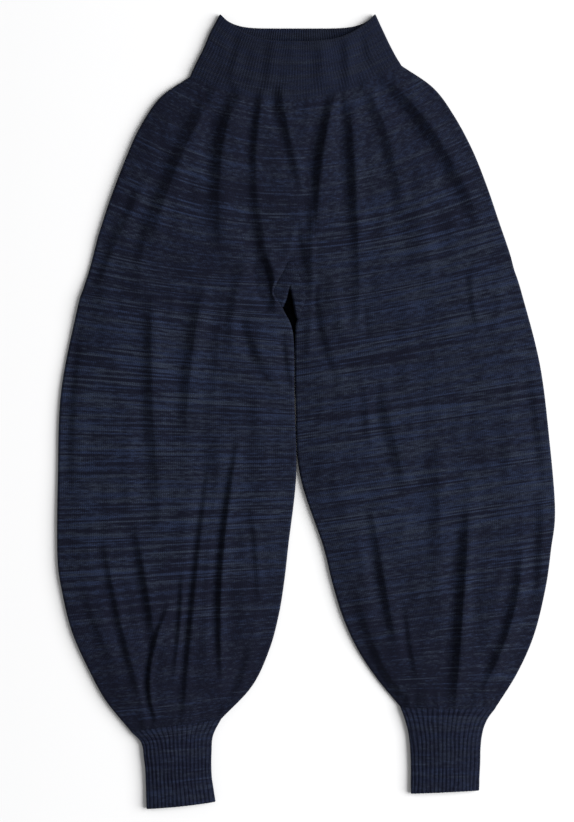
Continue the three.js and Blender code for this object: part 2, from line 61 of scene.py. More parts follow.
# Cloth and lay, as the solids have them
CLOTH = 2.0  # thickness of the knit
AIR = 2.4  # between the two layers where they lie on each other
LEAST_AIR = 0.7  # what stays between the layers at the bottom of a crease
FLAT_HEIGHT = 2 * CLOTH + AIR  # top of the front layer where it lies flat
FOLD_RADIUS = FLAT_HEIGHT / 2  # of the folded side edges
SEAM_GAP = 0.3  # between two pieces at a seam
WAIST_LIFT = 7.0  # middle of the waistband, above FLAT_HEIGHT
WAIST_LIFT_FADE = 105.0  # length down the seat over which that lift dies away
PUFF = 3.4  # slack of the seat and legs
PUFF_EDGE = 45.0  # strip along a fold over which the slack builds up
CUFF_LIFT = 4.6  # gathers above the cuff
CUFF_LIFT_FADE = 75.0  # length up the leg over which they die away
HEM_LIFT = 2.6  # middle of the cuff at its hem
BACK_RIM_DIP = 17.5  # the back rim's middle, below its two corners
BACK_RIM_POWER = 6.0  # how late the back rim rises to them
FORK_X = -20.0  # middle of the fork, where the seat has no slack
FORK_ROWS = 1.2  # rows of the seat's table over which its slack ends there

# Finer form than the solids have
GATHER_HEIGHT = 0.45  # tucks beside a gathered seam
GATHER_REACH = 30.0  # how far from the seam they run
GATHER_START = 4.0  # strip at the seam over which they grow
GATHER_LENGTHS = np.linspace(12.0, 30.0, 5)  # from tuck to tuck
WAVE_LEAST = 0.7  # shortest wave of uneven ground, of its wave length
WAVE_SPREAD = 0.8  # how much longer the longest one is
GROUND_HEIGHT = 0.9  # of uneven ground where the cloth lies loose
GROUND_LIFT = (0.5, 3.0)  # lift at which it starts to be loose, and at which it is
GROUND_COUNT = 22  # waves in the ground
UNDER_HEIGHT = 0.35  # shallow creases of the underside
UNDER_LENGTH = 70.0
NOTCH_SIDE = 3.4  # width of the slope down each side of the notch
RIB_POWER = 0.65  # how round a rib's top is
RIB_UNEVEN = 0.28  # of a rib's height
RIB_UNEVEN_LENGTH = 30.0
RIB_WAVER = 0.11  # of a rib's width
RIB_WAVER_LENGTH = 26.0
RIB_SOFTEN = 0.75  # what the waistband's ribs lose by its last row
RIB_SOFTEN_START = 0.9  # share of the waistband after which they do

SEAM_HOLD = 0.08  # a row this near a seam keeps the shading level up to it
RIM_STEPS = 6  # rows round the thickness of an open edge
CUT_STEPS = 200  # courses that a tube's flat size is worked out from


class Side(Enum):
    """Which leg, as seen in the photograph."""

    LEFT = -1
    RIGHT = 1


class Seed(IntEnum):
    """Start of the random draws of each uneven surface."""

    SEAT_TUCKS = 3
    LEFT_LEG_TUCKS = 4
    RIGHT_LEG_TUCKS = 6
    UNDERSIDE = 11
    GROUND = 21
    FINE_GROUND = 22
    RIB_HEIGHT = 31
    RIB_PLACE = 32


# Wave length of the ground, how slowly it changes down the garment, its size and its draws
GROUND_WAVES = ((44.0, 0.28, 1.0, Seed.GROUND), (22.0, 0.4, 0.5, Seed.FINE_GROUND))


def smoothstep(value: Array, low: float, high: float) -> Array:
    """A soft ramp from 0 at low to 1 at high: 3t squared minus 2t cubed.

    Args:
        value: Where to read the ramp.
        low: Where it leaves 0.
        high: Where it reaches 1.

    Returns:
        The ramp's value, in the shape of value.
    """
    t = np.clip((value - low) / (high - low), 0.0, 1.0)
    return t * t * (3.0 - 2.0 * t)


def dome(across: Array) -> Array:
    """A low arch, 0 at both folds and 1 halfway between them."""
    return 4.0 * across * (1.0 - across)


def waves(x: Array, y: Array, length: float, seed: Seed, count: int = 14) -> Array:
    """Uneven ground: sine waves of about one length, each in its own direction.

    Their sum is divided by the root of twice their count.

    Args:
        x: Places along the first direction.
        y: Places along the second direction.
        length: The wave length that the waves vary about.
        seed: Start of the random draws, so that each use has its own ground.
        count: How many waves are added.

    Returns:
        Heights between about -1 and 1.
    """
    draw = np.random.default_rng(seed)
    total = np.zeros(np.broadcast(x, y).shape)
    for turn, size, phase in draw.random((count, 3)):
        pace = 2.0 * math.pi / (length * (WAVE_LEAST + WAVE_SPREAD * size))
        angle = 2.0 * math.pi * turn
        total += np.sin(pace * (x * math.cos(angle) + y * math.sin(angle)) + 2.0 * math.pi * phase)
    return total / math.sqrt(2.0 * count)


def gathers(across: Array, reach: Array, seed: Seed) -> Array:
    """The small tucks beside a gathered seam.

    The height is GATHER_HEIGHT times the sum of sines of GATHER_LENGTHS across the seam, over the
    root of their count, times a fade that grows over GATHER_START, and then falls as e to the minus
    (reach / GATHER_REACH) squared.

    Args:
        across: Places along the seam.
        reach: The distance from the seam.
        seed: Start of the random draws.

    Returns:
        Heights in millimetres.
    """
    draw = np.random.default_rng(seed)
    total = np.zeros(np.broadcast(across, reach).shape)
    for length, phase in zip(GATHER_LENGTHS, draw.random(len(GATHER_LENGTHS))):
        total += np.sin(2.0 * math.pi * (across / length + phase))
    fade = smoothstep(reach, 0.0, GATHER_START) * np.exp(-((reach / GATHER_REACH) ** 2))
    return GATHER_HEIGHT * fade * total / math.sqrt(len(GATHER_LENGTHS))


@dataclass(frozen=True)
class Table:
    """Named sizes of the courses of one piece, a row for each, on smooth curves down the piece."""

    columns: tuple[str, ...]
    rows: tuple[tuple[float, ...], ...]

    @property
    def last(self) -> int:
        """The place of the last row."""
        return len(self.rows) - 1

    def column(self, name: str) -> Array:
        """The values of one column."""
        return np.array([row[self.columns.index(name)] for row in self.rows], float)

    def at(self, place: Array) -> Section:
        """Each column at places between rows, on a cubic through its values.

        The slope at a row is half the step between its neighbours, and at an end the step itself.

        Args:
            place: Places down the table, 0 at its first row.

        Returns:
            The columns by name, each in the shape of place.
        """
        row = np.clip(np.floor(place).astype(int), 0, self.last - 1)
        t = place - row
        section = {}
        for name in self.columns:
            values = self.column(name)
            slopes = np.gradient(values)
            a, b = values[row], values[row + 1]
            leaving = a * (1.0 + 2.0 * t) + slopes[row] * t
            arriving = b * (3.0 - 2.0 * t) - slopes[row + 1] * (1.0 - t)
            section[name] = leaving * (1.0 - t) ** 2 + arriving * t**2
        return section

    def lengths(self, x: str, y: str) -> Array:
        """How far down the piece each row lies, along one column of points.

        Args:
            x: Column with the points' x.
            y: Column with the points' y.

        Returns:
            Lengths from the first row, one for each row.
        """
        steps = np.hypot(np.diff(self.column(x)), np.diff(self.column(y)))
        return np.concatenate([[0.0], np.cumsum(steps)])

    def length_to(self, place: Array, *curves: tuple[str, str]) -> Array:
        """How far down the piece each place lies, as the mean along some columns of points.

        Args:
            place: Places down the table.
            curves: The columns with the points' x and y, a pair for each curve.

        Returns:
            Lengths from the first row, in the shape of place.
        """
        lengths = sum(self.lengths(x, y) for x, y in curves) / len(curves)
        return np.interp(place, np.arange(len(self.rows)), lengths)


BODY_COLUMNS = ("left_x", "left_y", "middle_x", "middle_y", "right_x", "right_y", "power")
WAISTBAND = Table(
    BODY_COLUMNS,
    (
        (-107, 496, -10.5, 461, 86, 496, 3),
        (-119, 474, -11.5, 440, 96, 475, 2.6),
        (-128, 453, -12, 421, 104, 458, 2.3),
        (-137, 435, -12.5, 404, 112, 443, 2.1),
        (-145, 418, -13, 388, 119, 432, 2),
    ),
)
SEAT = Table(
    BODY_COLUMNS,
    (
        (-145, 418, -13, 388, 119, 432, 2),
        (-182, 392, -13, 348, 159, 404, 2),
        (-208, 354, -15, 308, 185, 369, 2),
        (-226, 314, -18, 264, 208, 326, 2),
        (-245, 264, -19, 221, 226, 281, 2),
        (-260, 218, -20, 187, 241, 237, 2),
    ),
)

LEG_COLUMNS = ("inner_x", "inner_y", "outer_x", "outer_y", "bow")
LEFT_LEG = Table(
    LEG_COLUMNS,
    (
        (-21, 187, -260, 218, 1),
        (-39, 152, -270, 179, 0.7),
        (-28, 127, -278, 154, 0.5),
        (-15.8, 94, -286, 127, 0.35),
        (-14.2, 8, -306, 24, 0.1),
        (-12.2, -79, -310, -83, 0),
        (-22, -167, -310.5, -181, 0),
        (-27, -211, -304, -229, -0.1),
        (-34, -254, -292, -276, -0.2),
        (-46, -298, -272, -321, -0.2),
        (-67.5, -343, -250, -361, -0.1),
        (-106, -384, -219, -399, 0),
    ),
)
RIGHT_LEG = Table(
    LEG_COLUMNS,
    (
        (-19, 187, 241, 237, 1),
        (-4, 147, 254, 199, 0.7),
        (-10, 121, 260, 177, 0.5),
        (-13.8, 94, 269, 149, 0.35),
        (-13.1, 8, 292, 59, 0.1),
        (-7.7, -79, 304, -36, 0),
        (21, -167, 311, -123, 0),
        (32, -211, 306, -172, -0.1),
        (46, -257, 299, -221, -0.2),
        (65, -298, 285, -278, -0.2),
        (89, -334, 264, -326, -0.1),
        (118, -369, 236, -371, 0),
    ),
)
LEFT_CUFF = Table(
    LEG_COLUMNS,
    (
        (-106, -384, -219, -399, 0),
        (-116, -404, -206, -413, 0),
        (-118, -426, -202, -433, 0),
        (-118, -453, -200, -461, 0),
        (-113, -487, -199, -496, 0.1),
    ),
)
RIGHT_CUFF = Table(
    LEG_COLUMNS,
    (
        (118, -369, 236, -371, 0),
        (124, -386, 225, -386, 0),
        (129, -408, 219, -408, 0),
        (131, -441, 217, -441, 0),
        (131, -477, 216, -473, 0),
    ),
)

# The gusset spans the fork between the legs' inner folds. Its rows are places down the leg tables,
# with the two sides of the notch in which it sinks to the surface.
GUSSET = Table(
    ("place", "left_x", "right_x"),
    (
        (0, -17, -23),
        (0.7, -18.8, -21.6),
        (1, -22.8, -18.4),
        (1.35, -25, -16),
        (1.7, -28, -14.6),
        (1.95, -30, -13.7),
        (2.3, -30, -11.4),
        (2.6, -28, -8),
        (3.3, -24, -8),
    ),
)

# Each crease runs through three points. Roll is the soft fold beside it, on its left going down
# the curve, or its right if negative, and peak says where along it is deepest. A depth below 0 is a
# ridge.
CREASE_COLUMNS = ("x0", "y0", "x1", "y1", "x2", "y2", "width", "depth", "roll", "peak")
SEAT_CREASES = (
    (-122, 412, -170, 322, -214, 196, 10.5, 5.0, 3.8, 0.42),
    (-89, 408, -118, 332, -121, 196, 10, 5.4, 4.4, 0.44),
    (-62, 404, -71, 332, -70, 262, 6.4, 4.2, 3.0, 0.34),
    (-74, 290, -65, 222, -51, 140, 7.5, 4.6, 2.0, 0.6),
    (-42, 405, -31, 345, -10, 258, 6.8, 4.2, 3.0, 0.36),
    (28, 404, 9, 314, 2, 215, 7.4, 6.0, 4.4, 0.36),
    (-1, 310, 8, 190, 0, 35, 4, -2, 0, 0.5),
    (42, 402, 52, 258, 56, 102, 7.6, 4.2, 3.4, 0.36),
    (60, 407, 91, 334, 108, 240, 9, 3.4, 2.6, 0.38),
    (79, 411, 148, 338, 206, 222, 10.5, 6.0, 4.4, 0.42),
    (-190, 325, -238, 232, -270, 150, 7, 2.2, 1.6, 0.7),
    (-188, 290, -212, 225, -222, 140, 9, 1.8, 1.6, 0.5),
    (143, 290, 150, 206, 162, 145, 9, -2.6, 0, 0.4),
    (-12, 240, -8, 205, -2, 170, 4.5, 2.2, 0, 0.5),
    (-12, 234, -24, 198, -40, 165, 5, -2, 0, 0.6),
    (198, 178, 202, 135, 210, 95, 5, 1.6, 1, 0.5),
)
LEFT_LEG_CREASES = (
    (-60, 192, -51, 164, -50, 122, 7.5, 6.5, 6.0, 0.5),
    (-282, 118, -296, 0, -297, -125, 6, 2, 0.8, 0.4),
    (-206, 150, -206, 20, -194, -150, 10, 3.2, 3.6, 0.45),
    (-138, 168, -155, 70, -164, -45, 9, 3.4, 3.2, 0.4),
    (-84, 205, -102, 130, -103, 68, 8.5, 2.8, 1.6, 0.55),
    (-112, 170, -122, 90, -128, 0, 9, 1.8, 1.8, 0.4),
    (-82, 124, -70, 72, -38, 22, 7, 3.2, 1.2, 0.35),
    (-30, 100, -27, 60, -20, 25, 4, 1.8, 0.6, 0.4),
    (-90, -35, -111, -190, -111, -335, 4.6, 5, 3.6, 0.55),
    (-126, -60, -146, -235, -158, -378, 4.4, 3.6, 1.6, 0.55),
    (-160, -200, -162, -260, -170, -335, 4, 2.2, 2.6, 0.5),
    (-222, -140, -206, -225, -195, -300, 6, 3.8, 2.8, 0.65),
    (-174, -238, -199, -320, -190, -388, 3.6, 4, 2.8, 0.6),
    (-258, -160, -240, -258, -208, -374, 5.5, 3, 2.4, 0.5),
    (-285, -220, -268, -270, -245, -320, 6, 1.6, 0.8, 0.5),
    (-76, -115, -68, -175, -65, -240, 5, 1.8, 1, 0.5),
    (-78, -290, -90, -335, -112, -377, 6.5, 2.4, 1.2, 0.5),
)
RIGHT_LEG_CREASES = (
    (8, 160, 16, 98, 38, 32, 6, 2.8, 0.8, 0.4),
    (30, 178, 42, 125, 55, 72, 7, -2.2, 0, 0.5),
    (70, 162, 72, 125, 76, 88, 5, 1.8, 0, 0.5),
    (78, 18, 97, -40, 108, -108, 10, 2.8, 2.4, 0.5),
    (66, 42, 68, 0, 72, -48, 6, 1.4, 1.4, 0.5),
    (146, -30, 148, -110, 152, -190, 12, 2, 2, 0.5),
    (268, 70, 281, -20, 291, -112, 7, 2.4, 1, 0.5),
    (283, -92, 284, -165, 278, -258, 7, 2.8, 1.6, 0.5),
    (72, -118, 87, -205, 102, -288, 6.5, 3.8, 3, 0.65),
    (52, -215, 86, -318, 128, -367, 7, 2.8, 2.6, 0.6),
    (118, -235, 124, -285, 134, -338, 4.5, 2, 1, 0.5),
    (192, -118, 184, -250, 174, -374, 7.5, 4.6, 5, 0.6),
    (260, -168, 246, -262, 204, -356, 6.5, 3.4, 3.4, 0.5),
)
WAIST_CREASES = (
    (-88, 470, -96, 440, -104, 404, 6, 1.4, 1.2, 0.5),
    (-52, 464, -56, 436, -60, 396, 8, 0.8, 0.8, 0.6),
    (8, 460, 9, 430, 10, 390, 8, 0.8, 0.8, 0.6),
    (40, 466, 43, 438, 46, 398, 6, 1.2, 1.0, 0.5),
    (64, 478, 70, 450, 78, 420, 6, 1.6, 0.8, 0.5),
)
CREASES = SEAT_CREASES + LEFT_LEG_CREASES + RIGHT_LEG_CREASES + WAIST_CREASES
CREASE_STEPS = 14  # pieces of a crease's curve that distances are measured to
ROLL_PLACE = 1.5  # a roll's line lies this many widths beside its crease
ROLL_WIDTH = 1.4  # how far a roll reaches away from its crease, in widths
ROLL_EDGE = 0.7  # how far it reaches towards it
ROLL_ROUND = 1.0  # rounding of its top
FAR_WIDTH = 1.5  # how far a crease reaches away from its roll, in widths
STRENGTH_POWER = 0.65  # how soon a crease is deep


@dataclass(frozen=True)
class Creases:
    """Soft troughs in the cloth, each with a fold beside it."""

    rows: tuple[tuple[float, ...], ...]

    def relief(self, x: Array, y: Array) -> Array:
        """What the creases add to the height at each point.

        Across a crease the trough is minus its depth times e to the minus (distance / width)
        squared, and wider on the side away from its roll. The roll is the same kind of bump,
        beside it, but towards the trough it falls as e to the minus distance, so that its edge
        is crisp. Both grow from nothing at the ends to full at the peak, as a quarter of a sine
        to the power STRENGTH_POWER.

        Args:
            x: The points' x.
            y: The points' y.

        Returns:
            Heights, in the shape of x.
        """
        total = np.zeros(x.shape)
        for row in self.rows:
            crease = dict(zip(CREASE_COLUMNS, row))
            distance, along = self.nearest(crease, x, y)
            peak, width = crease["peak"], crease["width"]
            share = np.where(along < peak, along / peak, (1.0 - along) / (1.0 - peak))
            strength = np.sin(0.5 * math.pi * np.clip(share, 0.0, 1.0)) ** STRENGTH_POWER
            toward = distance * math.copysign(1.0, crease["roll"])
            beside = toward - ROLL_PLACE * width
            reach = np.where(toward < 0.0, FAR_WIDTH * width, width)
            trough = crease["depth"] * np.exp(-((distance / reach) ** 2))
            steep = np.exp((ROLL_ROUND - np.hypot(beside, ROLL_ROUND)) / (ROLL_EDGE * width))
            gentle = np.exp(-((beside / (ROLL_WIDTH * width)) ** 2))
            roll = abs(crease["roll"]) * np.where(beside < 0.0, steep, gentle)
            total += strength * (roll - trough)
        return total

    @staticmethod
    def nearest(crease: dict[str, float], x: Array, y: Array) -> Pair:
        """The nearest place on a crease to each point.

        The crease is the parabola through its three points, as short straight pieces.

        Args:
            crease: The crease's row by column name.
            x: The points' x.
            y: The points' y.

        Returns:
            The distance, negative on the right going down, and how far along it is from 0 to 1.
        """
        t = np.linspace(0.0, 1.0, CREASE_STEPS + 1)
        weights = np.stack([(1 - t) * (1 - 2 * t), 4 * t * (1 - t), t * (2 * t - 1)])
        line_x = np.array([crease["x0"], crease["x1"], crease["x2"]]) @ weights
        line_y = np.array([crease["y0"], crease["y1"], crease["y2"]]) @ weights
        best = np.full(x.shape, np.inf)
        along = np.zeros(x.shape)
        for i in range(CREASE_STEPS):
            dx, dy = line_x[i + 1] - line_x[i], line_y[i + 1] - line_y[i]
            ox, oy = x - line_x[i], y - line_y[i]
            s = np.clip((ox * dx + oy * dy) / (dx * dx + dy * dy), 0.0, 1.0)
            ox, oy = ox - s * dx, oy - s * dy
            distance = np.hypot(ox, oy)
            nearer = distance < np.abs(best)
            best = np.where(nearer, np.where(dx * oy - dy * ox < 0, -distance, distance), best)
            along = np.where(nearer, (i + s) / CREASE_STEPS, along)
        return best, along


MAIN_CREASES = Creases(CREASES)


@dataclass(frozen=True)
class Lattice:
    """Points of a closed surface on a grid, in millimetres.

    The columns always join up. The rows do too, or the first and last row are each closed by a
    strip, in a sheet whose first half of columns is its top and whose second half its underside.
    """

    x: Array
    y: Array
    z: Array
    u: Array
    v: Array
    strips: bool = False

    def faces(self) -> Array:
        """The four-sided faces.

        Returns:
            Four point numbers for each face, all turning the same way.
        """
        index = np.arange(self.x.size).reshape(self.x.shape)
        below = np.roll(index, -1, axis=0)
        if self.strips:
            index, below = index[:-1], below[:-1]
        beside, across = np.roll(index, -1, axis=1), np.roll(below, -1, axis=1)
        parts = [np.stack([index, beside, across, below], axis=-1).reshape(-1, 4)]
        if self.strips:
            half = self.x.shape[1] // 2
            for row, order in ((index[0], (1, 0, 3, 2)), (below[-1], (0, 1, 2, 3))):
                over, under = row[:half], row[half:][::-1]
                parts.append(np.stack([over[:-1], over[1:], under[1:], under[:-1]], axis=-1)[:, order])
        return np.concatenate(parts)

    def to_object(self, name: str) -> bpy.types.Object:
        """Makes a mesh of four-sided faces, smooth, facing outwards, with the knit's UV map.

        Args:
            name: The piece's name.

        Returns:
            The new object, at the origin.
        """
        points = np.stack([self.x, self.y, self.z], axis=-1).reshape(-1, 3) * MM
        faces = self.faces()
        a, b, c, d = (points[faces[:, i]] for i in range(4))
        volume = np.sum(a * (np.cross(b, c) + np.cross(c, d)))
        if volume < 0.0:
            faces = faces[:, ::-1]
        uv = np.stack([self.u, self.v], axis=-1).reshape(-1, 2)[faces.reshape(-1)] * MM
        mesh = bpy.data.meshes.new(name)
        mesh.from_pydata(points.tolist(), [], faces.tolist())
        mesh.shade_smooth()
        layer = mesh.uv_layers.new(name=KNIT_MAP)
        layer.uv.foreach_set("vector", uv.astype(np.float32).ravel())
        piece = bpy.data.objects.new(name, mesh)
        bpy.context.scene.collection.objects.link(piece)
        return piece


@dataclass(frozen=True)
class Around:
    """Where a flat tube's columns lie: over the front, round a fold, back under and round the other."""

    flat: Array  # share of the way over the flat part
    angle: Array  # round a fold: 0 on the front, pi on the underside
    side: Array  # 1 or -1 on a fold, 0 between the folds
    rib: Array  # ribs counted all the way round

    @classmethod
    def make(cls, front: int, back: int, fold: int, ribs: int = 0, fold_ribs: int = 0) -> "Around":
        """Lays out the columns.

        Args:
            front: Steps across the front.
            back: Steps across the underside.
            fold: Steps round each fold.
            ribs: Ribs across the front and across the underside.
            fold_ribs: Ribs round each fold.

        Returns:
            The columns.
        """
        over = np.arange(front + 1) / front
        under = np.arange(back + 1) / back
        turn = np.arange(1, fold) / fold
        still, beneath = np.zeros(front + 1), np.full(back + 1, math.pi)
        flat = [over, np.ones(fold - 1), 1.0 - under, np.zeros(fold - 1)]
        angle = [still, math.pi * turn, beneath, math.pi * (1.0 - turn)]
        side = [still, np.ones(fold - 1), 0.0 * beneath, -np.ones(fold - 1)]
        first_fold = ribs + fold_ribs * turn
        underneath = ribs + fold_ribs + ribs * under
        last_fold = 2 * ribs + fold_ribs + fold_ribs * turn
        rib = [ribs * over, first_fold, underneath, last_fold]
        return cls(*(np.concatenate(part) for part in (flat, angle, side, rib)))


@dataclass
class Piece:
    """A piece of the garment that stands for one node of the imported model."""

    name: str
    node: str
    slot: str

    def lattice(self) -> Lattice:
        """Works out every point of the piece."""
        raise NotImplementedError

    def cut_size(self) -> tuple[tuple[float, float], float]:
        """What the piece is knitted to, opened out flat: width and length, and the area, in metres."""
        raise NotImplementedError

    def build(self, finish: "Finish") -> bpy.types.Object:
        """Makes the piece and dresses it.

        Args:
            finish: The knit that it is made in.

        Returns:
            The piece.
        """
        piece = self.lattice().to_object(self.name)
        width, length = self.dress(piece, finish)
        LOG.info("%s: %d faces, cut %.0f by %.0f mm", self.name, len(piece.data.polygons), width, length)
        return piece

    def dress(self, piece: bpy.types.Object, finish: "Finish") -> tuple[float, float]:
        """Gives the piece its finish, hangs it under the root, hides the part that it stands for and says
        how large its cloth is.

        Args:
            piece: The piece's mesh.
            finish: The knit that it is made in.

        Returns:
            The width and length of its cloth in millimetres.
        """
        piece.data.materials.append(finish.material())
        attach(piece, "root")
        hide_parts(self.node)
        size, area = self.cut_size()
        return size[0] / MM, size[1] / MM


@dataclass(frozen=True)
class Spots:
    """Points of a tube's front: places down and across it, its width there, and x and y."""

    place: Array
    across: Array
    width: Array
    x: Array
    y: Array


@dataclass
class FlatTube(Piece):
    """A knitted tube pressed flat: a wall of even thickness, with a fold at each side.

    The wall's outer side runs down the piece, turns over the end, comes back as its inner side and
    turns again, so that the rows close up as the columns do.
    """

    table: Table
    wale_width: float
    first_v: float = 0.0
    front_steps: int = 150
    back_steps: int = 48
    fold_steps: int = 8
    row_step: float = 2.4
    inner_row_step: float = 8.0
    open_start: bool = False
    open_end: bool = False
    ribs: int = 0
    fold_ribs: int = 0
    rib_height: float = 0.0

    def ends(self) -> tuple[tuple[str, str], tuple[str, str]]:
        """The columns of the table with each course's two folds."""
        raise NotImplementedError

    def point(self, section: Section, across: Array, backness: Array) -> Pair:
        """Where a point across a course lies, seen from above."""
        raise NotImplementedError

    def height(self, at: Spots) -> Array:
        """The outer side of the front above the surface."""
        raise NotImplementedError

    def length_to(self, place: Array) -> Array:
        """The length down the piece to each place, the mean of its two folds'."""
        return self.table.length_to(place, *self.ends())

    def side_places(self, step: float) -> Array:
        """Places down one side of the wall, about a step apart, with a close row at each sewn end.

        Args:
            step: The length between rows.

        Returns:
            Places from the first row of the table to the last, or short of an open edge's round.
        """
        total = float(self.length_to(np.array(float(self.table.last))))
        trim = 0.5 * CLOTH
        start = trim if self.open_start else SEAM_HOLD
        end = total - (trim if self.open_end else SEAM_HOLD)
        lengths = np.linspace(start, end, max(3, round((end - start) / step) + 1))
        if not self.open_start:
            lengths = np.concatenate([[0.0], lengths])
        if not self.open_end:
            lengths = np.concatenate([lengths, [total]])
        return self.place_at(lengths)

    def place_at(self, length: Array) -> Array:
        """The place in the table at each length down the piece."""
        rows = np.arange(self.table.last + 1.0)
        return np.interp(length, self.length_to(rows), rows)

    def rim(self, at_start: bool) -> Pair:
        """Rows round an open edge, half a circle through the wall's thickness.

        Args:
            at_start: True for the first edge of the table.

        Returns:
            Places and insets of the rows, from the outer side to the inner.
        """
        total = float(self.length_to(np.array(float(self.table.last))))
        turn = math.pi * np.arange(1, RIM_STEPS) / RIM_STEPS
        inset = 0.5 * CLOTH * (1.0 - np.cos(turn))
        reach = 0.5 * CLOTH * (1.0 - np.sin(turn))
        return self.place_at(reach if at_start else total - reach), inset

    def rows(self) -> Pair:
        """All rows of the wall: the outer side, the end, the inner side and the start.

        Returns:
            Each row's place in the table and its depth in from the outer side.
        """
        outer, inner = self.side_places(self.row_step), self.side_places(self.inner_row_step)[::-1]
        places, insets = [outer], [np.zeros(len(outer))]
        if self.open_end:
            place, inset = self.rim(at_start=False)
            places.append(place)
            insets.append(inset)
        places.append(inner)
        insets.append(np.full(len(inner), CLOTH))
        if self.open_start:
            place, inset = self.rim(at_start=True)
            places.append(place[::-1])
            insets.append(inset[::-1])
        return np.concatenate(places), np.concatenate(insets)

    def rib_fade(self, place: Array) -> Array:
        """How strong the ribs are at each place."""
        return np.ones(place.shape)

    def underside(self, x: Array, y: Array) -> Array:
        """How far the underside's shallow creases lift it off the surface."""
        return UNDER_HEIGHT * np.clip(waves(x, y, UNDER_LENGTH, Seed.UNDERSIDE), 0.0, 1.0)

    def ribbing(self, rib: Array, place: Array, x: Array, y: Array) -> Pair:
        """How far the ribs push the wall out.

        A rib of height h pushes by h / 2 times (2 |sin(pi n)| to the power RIB_POWER, minus 1), n
        counting ribs. Soft noise moves n by RIB_WAVER and varies h by RIB_UNEVEN of itself.

        Args:
            rib: Ribs counted round the tube, for each column.
            place: Places in the table.
            x: The points' x.
            y: The points' y.

        Returns:
            The push of each point, and the h / 2 that keeps the underside on the surface.
        """
        phase = rib[None, :] + RIB_WAVER * waves(x, y, RIB_WAVER_LENGTH, Seed.RIB_PLACE)
        uneven = 1.0 + RIB_UNEVEN * waves(x, y, RIB_UNEVEN_LENGTH, Seed.RIB_HEIGHT)
        half = 0.5 * self.rib_height * self.rib_fade(place) * uneven
        return half * (2.0 * np.abs(np.sin(math.pi * phase)) ** RIB_POWER - 1.0), half

    def lattice(self) -> Lattice:
        """Works out every point of the wall.

        Across the flat part the outer side of the front is at height H and the underside at 0.
        Round a fold of radius R by an angle a, a point moves out by (R - inset) times sin a, and
        its height is inset + (H - 2 inset)(1 + cos a) / 2. Ribs move the whole wall outwards.

        Returns:
            The points with the knit's own coordinates, across the course and down the wale.
        """
        columns = Around.make(self.front_steps, self.back_steps, self.fold_steps, self.ribs, self.fold_ribs)
        place, inset = (a[:, None] for a in self.rows())
        flat, angle, side = (a[None, :] for a in (columns.flat, columns.angle, columns.side))
        section = self.table.at(place)
        (ax, ay), (bx, by) = self.ends()
        width = np.hypot(section[bx] - section[ax], section[by] - section[ay])
        edge = FOLD_RADIUS / width
        top = 0.5 * (1.0 + np.cos(angle))
        across = edge + (1.0 - 2.0 * edge) * flat
        x0, y0 = self.point(section, across, 0.0 * top)
        front = self.height(Spots(place, across, width, x0, y0))
        if self.ribs:
            push, half = self.ribbing(columns.rib, place, x0, y0)
            lift = (1.0 - top) * half
        else:
            push = np.zeros(front.shape)
            lift = (1.0 - top) * self.underside(x0, y0) * (inset == 0.0)
        reach = (FOLD_RADIUS - inset + push) * np.sin(angle) * side
        x, y = self.point(section, across + reach / width, 1.0 - top)
        z = inset + top * (front - 2.0 * inset) + push * np.cos(angle) + lift
        bend = FOLD_RADIUS * np.minimum(angle, math.pi - angle) * side
        u = self.knit_across(flat, bend) + 0.0 * place
        v = self.first_v + self.length_to(place) + 0.0 * flat
        return Lattice(x, y, z, u, v)

    def knit_across(self, flat: Array, bend: Array) -> Array:
        """The knit's own coordinate along the course, with the way round a fold."""
        return (flat - 0.5) * self.wale_width + bend

    def cut_size(self) -> tuple[tuple[float, float], float]:
        """What the tube is knitted to.

        Returns:
            Its width all round and its length, and the area, in metres and square metres.
        """
        place = np.linspace(0.0, self.table.last, CUT_STEPS)
        section = self.table.at(place)
        (ax, ay), (bx, by) = self.ends()
        width = np.hypot(section[bx] - section[ax], section[by] - section[ay])
        length = self.length_to(place)
        area = 2.0 * float(np.sum(0.5 * (width[1:] + width[:-1]) * np.diff(length)))
        return (2.0 * float(width.max()) * MM, float(length[-1]) * MM), area * MM * MM


@dataclass
class BodyTube(FlatTube):
    """A tube across the whole body, whose courses hang lower in the middle."""

    def ends(self) -> tuple[tuple[str, str], tuple[str, str]]:
        """The left and the right fold."""
        return ("left_x", "left_y"), ("right_x", "right_y")

    def length_to(self, place: Array) -> Array:
        """The length down the middle of the front to each place."""
        return self.table.length_to(place, ("middle_x", "middle_y"))

    @staticmethod
    def hang(section: Section, across: Array, middle_y: Array, power: Array) -> Pair:
        """A course through its two folds and its middle.

        With w from -1 at the left fold to 1 at the right, a point is the middle, plus w times half
        the way between the folds, plus |w| to the power times the folds' mean over the middle.

        Args:
            section: The course's sizes.
            across: Places across it, 0 at the left fold and 1 at the right.
            middle_y: How low its middle hangs.
            power: How late it rises to the folds.

        Returns:
            The points' x and y.
        """
        w = 2.0 * across - 1.0
        rise = np.abs(w) ** power
        left_x, right_x, middle_x = section["left_x"], section["right_x"], section["middle_x"]
        left_y, right_y = section["left_y"], section["right_y"]
        x = middle_x + 0.5 * w * (right_x - left_x) + rise * (0.5 * (left_x + right_x) - middle_x)
        y = middle_y + 0.5 * w * (right_y - left_y) + rise * (0.5 * (left_y + right_y) - middle_y)
        return x, y

    def point(self, section: Section, across: Array, backness: Array) -> Pair:
        """Where a point across a course lies, the same on the front and the back."""
        return self.hang(section, across, section["middle_y"], section["power"])


